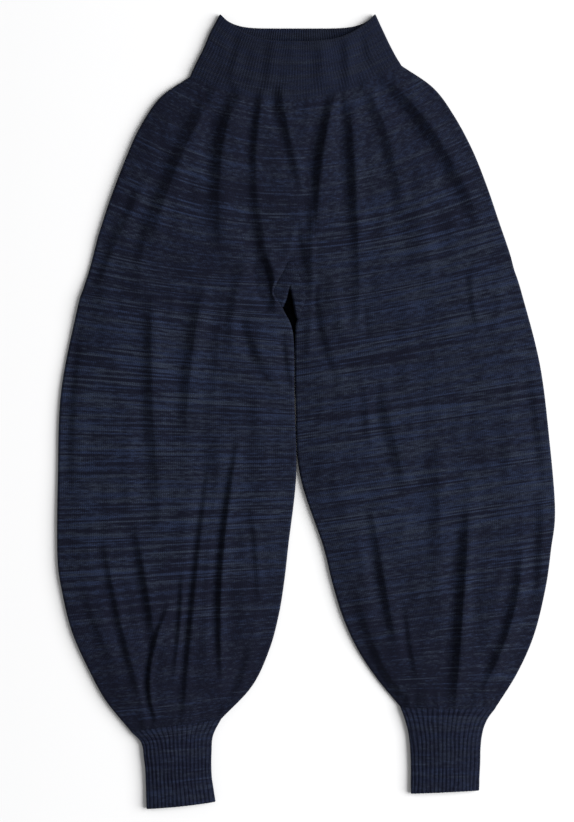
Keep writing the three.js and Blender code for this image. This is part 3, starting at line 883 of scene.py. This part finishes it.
@dataclass
class Waistband(BodyTube):
    """The tall 1x1 rib, with the front rim dipping below the back one."""

    name: str = "waistband_rib"
    node: str = "waistband"
    slot: str = "waist_rib"
    table: Table = WAISTBAND
    wale_width: float = 201.0
    first_v: float = -73.0
    front_steps: int = 396
    back_steps: int = 396
    fold_steps: int = 18
    row_step: float = 2.2
    inner_row_step: float = 4.0
    open_start: bool = True
    ribs: int = 66
    fold_ribs: int = 3
    rib_height: float = 0.6
    down: Array = field(init=False)

    def rows(self) -> Pair:
        """All rows of the wall. How far down the piece each is stays in down, for the back's rim.

        Returns:
            Each row's place in the table and its depth in from the outer side.
        """
        places, insets = super().rows()
        self.down = (places / self.table.last)[:, None]
        return places, insets

    def point(self, section: Section, across: Array, backness: Array) -> Pair:
        """Where a point lies, the back's courses rising above the front's towards the rim.

        Args:
            section: The course's sizes.
            across: Places across it.
            backness: 0 on the front, 1 on the back.

        Returns:
            The points' x and y.
        """
        corner = 0.5 * (section["left_y"] + section["right_y"])
        back_middle = (corner - BACK_RIM_DIP) * (1.0 - self.down) + section["middle_y"] * self.down
        back_power = BACK_RIM_POWER * (1.0 - self.down) + section["power"] * self.down
        front = self.hang(section, across, section["middle_y"], section["power"])
        back = self.hang(section, across, back_middle, back_power)
        return tuple(f + (b - f) * backness for f, b in zip(front, back))

    def height(self, at: Spots) -> Array:
        """A low arch all the way down, with its soft folds."""
        return laid_height(at, WAIST_LIFT * dome(at.across))

    def rib_fade(self, place: Array) -> Array:
        """The ribs soften where the plain knit starts."""
        last = float(self.table.last)
        return 1.0 - RIB_SOFTEN * smoothstep(place, RIB_SOFTEN_START * self.table.last, last)


@dataclass
class Seat(BodyTube):
    """The full plain-knit seat, gathered into the waistband."""

    name: str = "seat_jersey"
    node: str = "seat"
    slot: str = "body_knit"
    table: Table = SEAT
    wale_width: float = 520.0
    front_steps: int = 300
    back_steps: int = 80
    row_step: float = 1.8

    def height(self, at: Spots) -> Array:
        """The lay below the waistband, with no slack by the fork, where the legs part.

        Args:
            at: Points of the front.

        Returns:
            Heights above the surface.
        """
        fork = smoothstep(at.place, self.table.last - FORK_ROWS, float(self.table.last))
        slack_share = 1.0 - fork * (1.0 - smoothstep(np.abs(at.x - FORK_X), 0.0, PUFF_EDGE))
        return WAIST_SEAM.height(at, self.length_to(at.place), Seed.SEAT_TUCKS, slack_share)


def laid_height(at: Spots, lift: Array) -> Array:
    """The front's outer side: the flat height, a lift, uneven ground and the creases.

    It is never pressed through the back.

    Args:
        at: Points of the front.
        lift: What the lay adds there.

    Returns:
        Heights above the surface.
    """
    uneven = sum(
        size * waves(at.x, pace * at.y, length, seed, GROUND_COUNT)
        for length, pace, size, seed in GROUND_WAVES
    )
    loose = GROUND_HEIGHT * smoothstep(lift, *GROUND_LIFT)
    height = FLAT_HEIGHT + lift + loose * uneven + MAIN_CREASES.relief(at.x, at.y)
    return np.maximum(height, 2.0 * CLOTH + LEAST_AIR)


@dataclass(frozen=True)
class GatheredSeam:
    """How plain knit lies beside the rib that it is gathered into."""

    lift: float  # of the rib's middle
    fade: float  # length over which that dies away, and the slack builds up
    tuck_edge: float  # dome height at which the tucks are full, none being on the folds

    def height(self, at: Spots, reach: Array, seed: Seed, slack_share: Array | float = 1.0) -> Array:
        """Slack that builds up from the folds and the seam, the rib's lift, tucks and creases.

        Args:
            at: Points of the front.
            reach: Their distance from the seam.
            seed: The tucks' draws.
            slack_share: How much of the slack there is.

        Returns:
            Heights above the surface.
        """
        slack = PUFF * smoothstep(at.width * np.minimum(at.across, 1.0 - at.across), 0.0, PUFF_EDGE)
        slack = slack * smoothstep(reach, 0.0, self.fade) * slack_share
        lift = self.lift * dome(at.across) * np.exp(-((reach / self.fade) ** 2))
        tucks = gathers(at.x, reach, seed) * smoothstep(dome(at.across), 0.0, self.tuck_edge)
        return laid_height(at, slack + lift + tucks)


WAIST_SEAM = GatheredSeam(WAIST_LIFT, WAIST_LIFT_FADE, tuck_edge=0.25)
CUFF_SEAM = GatheredSeam(CUFF_LIFT, CUFF_LIFT_FADE, tuck_edge=0.35)

# How far down the wale the legs start.
LEG_START = float(SEAT.lengths("middle_x", "middle_y")[-1])

# The seat's last course sags by this much, and each leg's first one follows it.
SAG_X = 0.5 * (SEAT.column("left_x")[-1] + SEAT.column("right_x")[-1]) - SEAT.column("middle_x")[-1]
SAG_Y = 0.5 * (SEAT.column("left_y")[-1] + SEAT.column("right_y")[-1]) - SEAT.column("middle_y")[-1]


@dataclass
class LegTube(FlatTube):
    """A tube round one leg, whose courses run from its inner fold to its outer one."""

    side: Side = Side.LEFT

    def ends(self) -> tuple[tuple[str, str], tuple[str, str]]:
        """The inner and the outer fold."""
        return ("inner_x", "inner_y"), ("outer_x", "outer_y")

    def point(self, section: Section, across: Array, backness: Array) -> Pair:
        """A straight course between the folds, less its share of the seat's sag.

        Args:
            section: The course's sizes.
            across: Places across it, 0 at the inner fold and 1 at the outer.
            backness: 0 on the front, 1 on the back. Here both are alike.

        Returns:
            The points' x and y.
        """
        hang = section["bow"] * across * (1.0 - across)
        x = section["inner_x"] + (section["outer_x"] - section["inner_x"]) * across - SAG_X * hang
        y = section["inner_y"] + (section["outer_y"] - section["inner_y"]) * across - SAG_Y * hang
        return x, y

    def knit_across(self, flat: Array, bend: Array) -> Array:
        """The knit's own coordinate along the course, running on from the seat's."""
        return self.side.value * (flat * self.wale_width + bend)


@dataclass
class Leg(LegTube):
    """A balloon leg, gathered into its cuff."""

    slot: str = "body_knit"
    table: Table = LEFT_LEG
    wale_width: float = 260.0
    first_v: float = LEG_START
    front_steps: int = 214

    def height(self, at: Spots) -> Array:
        """The lay above the cuff.

        Args:
            at: Points of the front.

        Returns:
            Heights above the surface.
        """
        inner, _ = self.ends()
        up = self.table.lengths(*inner)[-1] - self.table.length_to(at.place, inner)
        seed = Seed.LEFT_LEG_TUCKS if self.side is Side.LEFT else Seed.RIGHT_LEG_TUCKS
        return CUFF_SEAM.height(at, up, seed)


@dataclass
class Cuff(LegTube):
    """A narrow cuff in coarse rib, standing a little open at its hem."""

    slot: str = "cuff_rib"
    table: Table = LEFT_CUFF
    wale_width: float = 86.4
    front_steps: int = 128
    back_steps: int = 128
    fold_steps: int = 16
    row_step: float = 1.6
    inner_row_step: float = 4.0
    open_end: bool = True
    ribs: int = 16
    fold_ribs: int = 2
    rib_height: float = 1.15

    def height(self, at: Spots) -> Array:
        """A low arch that settles towards the hem.

        Args:
            at: Points of the front.

        Returns:
            Heights above the surface.
        """
        settle = smoothstep(at.place, 0.0, float(self.table.last))
        lift = CUFF_LIFT + (HEM_LIFT - CUFF_LIFT) * settle
        return FLAT_HEIGHT + lift * dome(at.across) + 0.0 * at.x


@dataclass
class Gusset(Piece):
    """The small sheet of cloth that spans the fork and sinks between the legs in a notch."""

    name: str = "gusset_knit_sheet"
    node: str = "gusset"
    slot: str = "gusset_knit"
    rows: int = 70
    columns: int = 56
    puff: float = 0.6  # crown of the cloth halfway across
    lowered: float = 1.2  # its top, below the legs'
    edge: float = 5.0  # width of its soft edges
    edge_rise: float = 0.4
    edge_thinning: float = 0.9  # share of the thickness that its edges lose

    def thinning(self, x: Array) -> Array:
        """How thin the cloth is towards its side edges, 1 at them and 0 away from them."""
        inward = np.minimum(x - x[:, :1], x[:, -1:] - x)
        return 1.0 - smoothstep(inward, 0.0, self.edge)

    def places(self) -> Array:
        """The place of each row down the leg tables."""
        start = SEAM_GAP / LEFT_LEG.lengths("inner_x", "inner_y")[1]
        return np.linspace(start, GUSSET.column("place")[-1], self.rows)[:, None]

    def down(self) -> Array:
        """How far down the wale each point is, going evenly from the left leg's to the right's.

        Returns:
            Lengths, a row for each place down the fork.
        """
        share = np.linspace(0.0, 1.0, self.columns)[None, :]
        folds = ("inner_x", "inner_y"), ("outer_x", "outer_y")
        tables = (LEFT_LEG, RIGHT_LEG)
        left, right = (LEG_START + table.length_to(self.places(), *folds) for table in tables)
        return left * (1.0 - share) + right * share

    @staticmethod
    def sunk(x: Array, left_x: Array, right_x: Array) -> Array:
        """How far the cloth has sunk at x: f(x - left) f(right - x), about the notch's two sides.

        f(d) = (1 - cos(pi (0.5 + d / NOTCH_SIDE))) / 2, held at 0 before it and at 1 after it.

        Args:
            x: Places across the fork.
            left_x: The notch's left side.
            right_x: Its right side.

        Returns:
            0 where the cloth stands, 1 where it lies on the surface.
        """
        ramps = [np.clip(0.5 + d / NOTCH_SIDE, 0.0, 1.0) for d in (x - left_x, right_x - x)]
        return 0.25 * (1.0 - np.cos(math.pi * ramps[0])) * (1.0 - np.cos(math.pi * ramps[1]))

    @staticmethod
    def fold_gap(height: Array) -> Array:
        """How far an edge at a height stays off a fold's outermost line, to lie on its round.

        Args:
            height: The edge's height above the surface.

        Returns:
            SEAM_GAP less the fold's radius plus the root of radius squared less off squared, off
            being the height from the fold's middle. Below 0 it is under or over the fold.
        """
        off = np.clip(height - FOLD_RADIUS, -FOLD_RADIUS, FOLD_RADIUS)
        return SEAM_GAP - FOLD_RADIUS + np.sqrt(FOLD_RADIUS**2 - off**2)

    def middle(self) -> tuple[Array, Array, Array]:
        """The middle of the cloth, from the left leg's inner fold to the right leg's.

        It stands at half its thickness plus its rise, less what has sunk. Its side edges follow the
        round of the legs' folds: under them where it lies low, and over them where it stands high.

        Returns:
            The points' x, y and z, a row for each place down the fork.
        """
        place = self.places()
        share = np.linspace(0.0, 1.0, self.columns)[None, :]
        left, right = LEFT_LEG.at(place), RIGHT_LEG.at(place)
        rows = GUSSET.column("place")
        left_x, right_x = (np.interp(place, rows, GUSSET.column(name)) for name in ("left_x", "right_x"))
        folds = left["inner_x"], right["inner_x"]
        rise = FLAT_HEIGHT - self.lowered + self.edge_rise
        edges = [0.5 * CLOTH + rise * (1.0 - self.sunk(fold, left_x, right_x)) for fold in folds]
        gaps = [self.fold_gap(edge) for edge in edges]
        x = (folds[0] + gaps[0]) * (1.0 - share) + (folds[1] - gaps[1]) * share
        y = left["inner_y"] * (1.0 - share) + right["inner_y"] * share
        top = FLAT_HEIGHT - self.lowered + self.puff * dome(share) + self.edge_rise * self.thinning(x)
        return x, y, 0.5 * CLOTH + top * (1.0 - self.sunk(x, left_x, right_x))

    def lattice(self) -> Lattice:
        """Sets the cloth's two sides off square to its middle, and straight up at its edges.

        Returns:
            The points, top and underside, with the knit's own coordinates.
        """
        x, y, z = self.middle()
        dx, dz = np.gradient(x, axis=1), np.gradient(z, axis=1)
        length = np.hypot(dx, dz)
        half = 0.5 * CLOTH * (1.0 - self.edge_thinning * self.thinning(x))
        side, up = half * dz / length, half * dx / length
        side[:, [0, -1]], up[:, [0, -1]] = 0.0, half[:, [0, -1]]
        top = (x - side, y, z + up)
        under = (x + side, y, z - up)
        points = [np.concatenate([a, b[:, ::-1]], axis=1) for a, b in zip(top, under)]
        along = np.cumsum(np.hypot(dx, dz), axis=1)
        knit = [np.concatenate([a, a[:, ::-1]], axis=1) for a in (along - 0.5 * along[:, -1:], self.down())]
        return Lattice(*points, *knit, strips=True)

    def cut_size(self) -> tuple[tuple[float, float], float]:
        """What the sheet is knitted to, opened out.

        Returns:
            Its width and length, and the area, in metres and square metres.
        """
        x, y, z = self.middle()
        width = np.sum(np.hypot(np.diff(x, axis=1), np.diff(z, axis=1)), axis=1)
        down = y[0].mean() - y.mean(axis=1)
        area = float(np.sum(0.5 * (width[1:] + width[:-1]) * np.diff(down)))
        return (float(width.max()) * MM, float(down[-1]) * MM), area * MM * MM


NOISE_ROUGHNESS = 0.5


@dataclass(frozen=True)
class Step:
    """A soft step of a value: where it starts and ends, and the results before and after."""

    low: float
    high: float
    before: float = 0.0
    after: float = 1.0


class Nodes:
    """A short way to lay out shader nodes."""

    def __init__(self, tree: bpy.types.NodeTree) -> None:
        """Keeps the tree that nodes are added to."""
        self.tree = tree

    def add(self, kind: str, inputs: dict[str, object] | None = None, **settings: object) -> bpy.types.Node:
        """Adds a node.

        Args:
            kind: The node's type, without the word ShaderNode.
            inputs: Socket values or sources by socket name.
            settings: The node's own settings.

        Returns:
            The node.
        """
        node = self.tree.nodes.new("ShaderNode" + kind)
        for key, value in settings.items():
            setattr(node, key, value)
        for key, value in (inputs or {}).items():
            self.feed(node.inputs[key], value)
        return node

    def feed(self, socket: Socket, value: object) -> None:
        """Sets a socket to a number or colour, or links a source to it.

        Args:
            socket: The input.
            value: A number, a colour or a node's output.
        """
        if isinstance(value, Socket):
            self.tree.links.new(value, socket)
        else:
            socket.default_value = value

    def math(self, operation: str, *values: object) -> Socket:
        """One step of arithmetic.

        Args:
            operation: Its name.
            values: Up to three numbers or sources.

        Returns:
            The result.
        """
        node = self.add("Math", operation=operation)
        for socket, value in zip(node.inputs, values):
            self.feed(socket, value)
        return node.outputs[0]

    def ramp(self, value: object, step: Step, scale: float = 1.0) -> Socket:
        """A soft step of a value from one range to another.

        Args:
            value: What is stepped.
            step: Where it steps, and the results before and after.
            scale: What both results are multiplied by.

        Returns:
            The result.
        """
        node = self.add("MapRange", interpolation_type="SMOOTHSTEP")
        numbers = (value, step.low, step.high, scale * step.before, scale * step.after)
        for socket, number in zip(node.inputs, numbers):
            self.feed(socket, number)
        return node.outputs[0]

    def noise(self, x: object, y: object, detail: float) -> Socket:
        """Soft noise at a point of two numbers.

        Args:
            x: Place along its first direction.
            y: Place along its second.
            detail: How much finer noise is added to it.

        Returns:
            A number about 0.5 on average.
        """
        where = self.add("CombineXYZ", {"X": x, "Y": y}).outputs[0]
        inputs = {"Vector": where, "Scale": 1.0, "Detail": detail, "Roughness": NOISE_ROUGHNESS}
        return self.add("TexNoise", inputs, noise_dimensions="2D").outputs["Fac"]

    def mix(self, share: object, a: object, b: object) -> Socket:
        """A blend of two colours.

        Args:
            share: How much of the second there is.
            a: The first colour.
            b: The second.

        Returns:
            The colour.
        """
        node = self.add("Mix", data_type="RGBA")
        for socket, value in zip((node.inputs[0], node.inputs[6], node.inputs[7]), (share, a, b)):
            self.feed(socket, value)
        return node.outputs[2]


@dataclass(frozen=True)
class Place:
    """Sources for a place in the knit, in metres, and for its course."""

    u: Socket  # along the course
    v: Socket  # down the wale
    course: Socket  # the course's number
    shift: Socket  # how far the course's yarn is shuffled along


@dataclass(frozen=True)
class Noise:
    """Soft noise in the knit. It changes from course to course where it has a share of their shifts."""

    along: float  # how fast it changes along the course
    down: float  # how fast it changes down the wale, or by the course's number
    size: float = 1.0  # how far apart the light and dark that it makes are
    detail: float = 2.0
    shuffle: float = 0.0  # share of the course's shift
    start: float = 0.0  # where it starts along the course

    def lay(self, nodes: Nodes, at: Place) -> Socket:
        """Lays out the noise.

        Args:
            nodes: Where the nodes go.
            at: The place in the knit.

        Returns:
            A number about 0.5 on average.
        """
        shift, row = self.start, at.v
        if self.shuffle:
            shift, row = nodes.math("MULTIPLY", at.shift, self.shuffle), at.course
        x = nodes.math("MULTIPLY_ADD", at.u, self.along, shift)
        return nodes.noise(x, nodes.math("MULTIPLY", row, self.down), self.detail)


# Noise in the yarn's tone, from single courses to broad patches, and in its hue
THIN = Noise(10.0, 0.83, 2.5, shuffle=1.0)
POOLED = Noise(8.0, 230.0, 0.5)
BROKEN = Noise(110.0, 0.9, 1.3, shuffle=2.3)
BROAD = Noise(2.5, 28.0, 0.45)
HUE = Noise(12.0, 160.0, start=9.0)
FLECKS = Noise(14.0, 1.0, detail=1.0, shuffle=3.1)
GRAIN = Noise(900.0, 900.0, detail=1.0)
GROUPS = Noise(3.0, 36.0, detail=1.0)
DRIFT = Noise(5.0, 14.0, detail=0.0)
SHUFFLE = 40.0  # the farthest that a course's yarn is shuffled along, in the noise's lengths

# Steps of the tone over the garment, by lengths down the wale or along the course: painted shade above,
# stronger on the left, painted shade towards the cuffs and painted light on the right leg, as the light
# falls across the garment
TONE = 0.44  # before all noise and steps
PAINTED_UPPER_SHADE = Step(0.14, 0.42, -0.16, 0.0)
PAINTED_SHADE_SIDES = Step(-0.06, 0.08, 1.2, 0.6)
PAINTED_CUFF_SHADE = Step(0.56, 0.70, 0.0, -0.23)
PAINTED_RIGHT_LIGHT = Step(0.0, 0.12, 0.0, 0.06)
WAIST_FAINT = Step(0.04, 0.17, 0.5, 1.0)
CUFF_FAINT = Step(0.62, 0.70, 1.0, 0.7)

# Steps of noise and of the stitches' height
GROUPED = Step(0.40, 0.64, 0.35, 1.3)
HUE_EDGES = (-0.1, 0.12)
DASHED = Step(0.72, 0.92, 0.0, 0.6)
PAINTED_STITCH_SHADE = Step(0.0, 1.0, 0.72, 1.2)
GRAIN_SHADE = Step(0.2, 0.8, 0.55, 1.45)
PAINTED_NOTCH_SHADE = 0.05  # painted shade: the share of the cloth's colour left at the bottom of the notch
V_LEAN = 0.55  # how far a stitch leans out, in courses

# Bands of the left leg: the pitch, the lengths down the wale where they start and end, and how
# strong they are. They waver with DRIFT, and fade on the right leg.
BANDS = ((0.0058, 0.27, 0.52, 0.14), (0.0122, 0.54, 0.64, 0.22))
BAND_FADE = 0.04
BAND_WAVER = 9.0
BAND_SIDES = Step(0.02, -0.04, 0.2, 1.0)


@dataclass(frozen=True)
class Finish:
    """A knit in space-dyed navy yarn. Lengths are in metres.

    The yarn changes colour slowly along its length, so each course is a row of long dark, blue and
    grey streaks, and neighbouring courses pool into bands.
    """

    name: str
    course: float = 0.0019
    wale: float = 0.0022
    dark: tuple[float, float, float, float] = (0.0038, 0.0048, 0.0135, 1.0)
    blue: tuple[float, float, float, float] = (0.0126, 0.0194, 0.0450, 1.0)
    grey: tuple[float, float, float, float] = (0.0180, 0.0242, 0.0415, 1.0)
    pale: tuple[float, float, float, float] = (0.0560, 0.0700, 0.1100, 1.0)
    level: float = 0.97
    streaks: float = 1.0
    bands: float = 1.0
    dashes: float = 1.0
    relief: float = 0.0005
    bump: float = 0.6
    roughness: float = 0.9
    gloss: float = 0.12
    sheen: float = 0.3  # of the gloss
    sheen_roughness: float = 0.4
    deep: float = 0.0  # cloth below this height is darkened: painted shade of a fold

    def material(self) -> bpy.types.Material:
        """Makes the material, once for each finish.

        Returns:
            The material.
        """
        found = bpy.data.materials.get(self.name)
        if found:
            return found
        material = bpy.data.materials.new(self.name)
        material.use_nodes = True
        material.node_tree.nodes.clear()
        nodes = Nodes(material.node_tree)
        at = self.place(nodes)
        stitch = self.stitches(nodes, at)
        colour = self.colour(nodes, at, stitch)
        bump = nodes.add("Bump", {"Strength": self.bump, "Distance": self.relief, "Height": stitch})
        shader = nodes.add("BsdfPrincipled", {"Base Color": colour, "Normal": bump.outputs["Normal"]})
        shader.inputs["Roughness"].default_value = self.roughness
        shader.inputs["Specular IOR Level"].default_value = self.gloss
        shader.inputs["Sheen Weight"].default_value = self.sheen * self.gloss
        shader.inputs["Sheen Roughness"].default_value = self.sheen_roughness
        out = nodes.add("OutputMaterial", {"Surface": shader.outputs["BSDF"]})
        out.is_active_output = True
        return material

    def place(self, nodes: Nodes) -> Place:
        """Reads the place in the knit from its map, and shuffles each course's yarn along.

        Args:
            nodes: Where the nodes go.

        Returns:
            The place.
        """
        uv = nodes.add("UVMap", uv_map=KNIT_MAP).outputs["UV"]
        parts = nodes.add("SeparateXYZ", {"Vector": uv}).outputs
        course = nodes.math("FLOOR", nodes.math("DIVIDE", parts["Y"], self.course))
        shuffle = nodes.add("TexWhiteNoise", {"W": course}, noise_dimensions="1D").outputs["Value"]
        return Place(parts["X"], parts["Y"], course, nodes.math("MULTIPLY", shuffle, SHUFFLE))

    def stitches(self, nodes: Nodes, at: Place) -> Socket:
        """The height of plain knit: columns of V stitches.

        Across a wale, w runs from 0 at its middle to 1 at its edge. The height is a wave down the
        wale that is led by w, so that each stitch leans out as a V, and it sinks towards the edge.

        Args:
            nodes: Where the nodes go.
            at: The place in the knit.

        Returns:
            Heights from 0 to 1.
        """
        wale = nodes.math("DIVIDE", at.u, self.wale)
        w = nodes.math("MULTIPLY", nodes.math("PINGPONG", wale, 0.5), 2.0)
        led = nodes.math("MULTIPLY_ADD", w, -V_LEAN, nodes.math("DIVIDE", at.v, self.course))
        wave = nodes.math("SINE", nodes.math("MULTIPLY", led, 2.0 * math.pi))
        bump = nodes.math("MULTIPLY_ADD", wave, 0.5, 0.5)
        round_off = nodes.math("SUBTRACT", 1.0, nodes.math("POWER", w, 2.0))
        return nodes.math("MULTIPLY_ADD", round_off, 0.5, nodes.math("MULTIPLY", bump, 0.5))

    def colour(self, nodes: Nodes, at: Place, stitch: Socket) -> Socket:
        """The yarn's colour, with painted shade in the gaps between stitches.

        Args:
            nodes: Where the nodes go.
            at: The place in the knit.
            stitch: Height of the stitches.

        Returns:
            The colour.
        """
        low, high = (self.streaks * edge for edge in HUE_EDGES)
        hue = nodes.ramp(self.patches(nodes, at, HUE), Step(low, high))
        light = nodes.mix(hue, self.blue, self.grey)
        base = nodes.mix(nodes.ramp(self.tone(nodes, at), Step(0.0, 1.0)), self.dark, light)
        base = nodes.mix(nodes.ramp(FLECKS.lay(nodes, at), DASHED, self.dashes), base, self.pale)
        # Painted shade in the gaps between stitches, times random grain.
        shade = nodes.ramp(stitch, PAINTED_STITCH_SHADE, self.level)
        shade = nodes.math("MULTIPLY", shade, nodes.ramp(GRAIN.lay(nodes, at), GRAIN_SHADE))
        # Painted shade: cloth low in the notch is darkened almost to black.
        if self.deep:
            spot = nodes.add("SeparateXYZ", {"Vector": nodes.add("TexCoord").outputs["Object"]})
            sunk = nodes.ramp(spot.outputs["Z"], Step(self.deep, 2.0 * self.deep, PAINTED_NOTCH_SHADE, 1.0))
            shade = nodes.math("MULTIPLY", shade, sunk)
        return nodes.add("VectorMath", operation="SCALE", inputs={0: base, "Scale": shade}).outputs[0]

    def tone(self, nodes: Nodes, at: Place) -> Socket:
        """How light the yarn is: streaks, broad patches and bands, with painted shade above and at the
        cuffs and painted light on the right leg.

        Args:
            nodes: Where the nodes go.
            at: The place in the knit.

        Returns:
            A tone, dark at 0 and light at 1.
        """
        layers = (THIN, POOLED, BROKEN, BROAD)
        thin, pooled, broken, broad = (self.patches(nodes, at, layer) for layer in layers)
        lines = nodes.math("MULTIPLY", nodes.math("ADD", thin, pooled), self.grouping(nodes, at))
        tone = nodes.math("ADD", nodes.math("ADD", lines, broken), nodes.math("ADD", broad, TONE))
        tone = nodes.math("ADD", tone, self.banding(nodes, at))
        # Painted shade above, stronger on the left, painted shade towards the cuffs and painted light on
        # the right leg.
        painted_upper_shade = nodes.ramp(at.v, PAINTED_UPPER_SHADE, self.streaks)
        tone = nodes.math("MULTIPLY_ADD", painted_upper_shade, nodes.ramp(at.u, PAINTED_SHADE_SIDES), tone)
        tone = nodes.math("ADD", tone, nodes.ramp(at.v, PAINTED_CUFF_SHADE, self.streaks))
        return nodes.math("ADD", tone, nodes.ramp(at.u, PAINTED_RIGHT_LIGHT, self.streaks))

    def patches(self, nodes: Nodes, at: Place, layer: Noise) -> Socket:
        """Soft light and dark places about 0, of the noise's size and the finish's own share."""
        share = layer.size * self.streaks
        return nodes.math("MULTIPLY_ADD", layer.lay(nodes, at), share, -0.5 * share)

    def grouping(self, nodes: Nodes, at: Place) -> Socket:
        """How strong the streaks are: they lie in groups, and are faint by the waist and cuffs.

        Args:
            nodes: Where the nodes go.
            at: The place in the knit.

        Returns:
            A factor from about 0.2 to 1.3.
        """
        group = nodes.ramp(GROUPS.lay(nodes, at), GROUPED)
        ends = nodes.math("MULTIPLY", nodes.ramp(at.v, WAIST_FAINT), nodes.ramp(at.v, CUFF_FAINT))
        return nodes.math("MULTIPLY", group, ends)

    def banding(self, nodes: Nodes, at: Place) -> Socket:
        """Even dark and light bands, where the yarn's repeat falls in step with the courses.

        Args:
            nodes: Where the nodes go.
            at: The place in the knit.

        Returns:
            What the bands add to the tone.
        """
        waver = nodes.math("MULTIPLY", DRIFT.lay(nodes, at), BAND_WAVER)
        total = 0.0
        for pitch, start, end, size in BANDS:
            phase = nodes.math("MULTIPLY_ADD", at.v, 2.0 * math.pi / pitch, waver)
            rising = nodes.ramp(at.v, Step(start, start + BAND_FADE))
            fading = nodes.ramp(at.v, Step(end, end + BAND_FADE, 1.0, 0.0), size * self.bands)
            strength = nodes.math("MULTIPLY", rising, fading)
            total = nodes.math("MULTIPLY_ADD", nodes.math("SINE", phase), strength, total)
        return nodes.math("MULTIPLY", total, nodes.ramp(at.u, BAND_SIDES))


@dataclass(frozen=True)
class Studio:
    """A pale floor, soft light from the upper right, and a camera straight above. All in metres."""

    view_height: float = 1.0275
    centre: tuple[float, float] = (-0.02375, 0.000625)
    camera_height: float = 3.0
    sensor: float = 36.0
    clip: tuple[float, float] = (0.05, 50.0)
    floor_half: float = 6.0
    floor_drop: float = 0.0003
    floor_colour: tuple[float, float, float, float] = (0.93, 0.93, 0.935, 1.0)
    floor_roughness: float = 0.9
    key_place: tuple[float, float, float] = (6.5, 0.2, 4.7)
    key_size: float = 6.5
    key_watts: float = 1110.0
    sky: float = 0.28
    sky_colour: tuple[float, float, float, float] = (1.0, 1.0, 1.0, 1.0)

    def build(self) -> None:
        """Makes the floor, the sky, the key light and the camera."""
        bpy.context.scene.view_settings.view_transform = "Standard"
        self.floor()
        self.world()
        self.key_light()
        self.camera()

    def floor(self) -> None:
        """Makes the floor, a little below the garment."""
        mesh = bpy.data.meshes.new("floor")
        half, low = self.floor_half, -self.floor_drop
        corners = [(-half, -half, low), (half, -half, low), (half, half, low), (-half, half, low)]
        mesh.from_pydata(corners, [], [(0, 1, 2, 3)])
        floor = bpy.data.objects.new("floor", mesh)
        bpy.context.scene.collection.objects.link(floor)
        material = bpy.data.materials.new("pale_floor")
        material.use_nodes = True
        shader = material.node_tree.nodes["Principled BSDF"]
        shader.inputs["Base Color"].default_value = self.floor_colour
        shader.inputs["Roughness"].default_value = self.floor_roughness
        shader.inputs["Specular IOR Level"].default_value = 0.0
        floor.data.materials.append(material)

    def world(self) -> None:
        """Makes the even light all round."""
        world = bpy.data.worlds.new("studio")
        world.use_nodes = True
        background = world.node_tree.nodes["Background"]
        background.inputs["Color"].default_value = self.sky_colour
        background.inputs["Strength"].default_value = self.sky
        bpy.context.scene.world = world

    def key_light(self) -> None:
        """Makes the large square light, which faces the middle of the garment."""
        data = bpy.data.lights.new("key", "AREA")
        data.shape = "SQUARE"
        data.size = self.key_size
        data.energy = self.key_watts
        light = bpy.data.objects.new("key", data)
        x, y, z = self.key_place
        light.location = self.key_place
        light.rotation_euler = (math.atan2(math.hypot(x, y), z), 0.0, math.atan2(x, -y))
        bpy.context.scene.collection.objects.link(light)

    def camera(self) -> None:
        """Makes the camera, whose picture is view_height high at the floor."""
        data = bpy.data.cameras.new("camera")
        data.sensor_width = self.sensor
        data.lens = self.sensor * self.camera_height / self.view_height
        data.clip_start, data.clip_end = self.clip
        camera = bpy.data.objects.new("camera", data)
        camera.location = (*self.centre, self.camera_height)
        bpy.context.scene.collection.objects.link(camera)
        bpy.context.scene.camera = camera


JERSEY = Finish("heather_jersey")
# The gusset has no gloss or sheen, and its colours are lighter and greyer than the jersey's by what these
# would add: painted sheen. Its deep height gives painted shade in the notch.
GUSSET_KNIT = Finish(
    "heather_gusset",
    dark=(0.0080, 0.0090, 0.0175, 1.0),
    blue=(0.0165, 0.0232, 0.0470, 1.0),
    grey=(0.0222, 0.0282, 0.0440, 1.0),
    gloss=0.0,
    deep=0.003,
)
WAIST_RIB = Finish("heather_fine_rib", level=0.9, streaks=0.3, bands=0.0, dashes=0.1, wale=0.00305)
CUFF_RIB = Finish("heather_coarse_rib", level=1.1, streaks=0.7, bands=0.0, dashes=0.7, wale=0.0027)


def main() -> None:
    """Builds the garment, piece by piece, then the studio."""
    logging.basicConfig(level=logging.INFO, format="%(message)s")
    pieces = (
        (Waistband(), WAIST_RIB),
        (Seat(), JERSEY),
        (Leg("leg_left_jersey", "leg_left"), JERSEY),
        (Leg("leg_right_jersey", "leg_right", table=RIGHT_LEG, side=Side.RIGHT), JERSEY),
        (Cuff("cuff_left_rib", "cuff_left"), CUFF_RIB),
        (Cuff("cuff_right_rib", "cuff_right", table=RIGHT_CUFF, side=Side.RIGHT), CUFF_RIB),
        (Gusset(), GUSSET_KNIT),
    )
    for piece, finish in pieces:
        piece.build(finish)
    Studio().build()


if __name__ == "__main__":
    main()
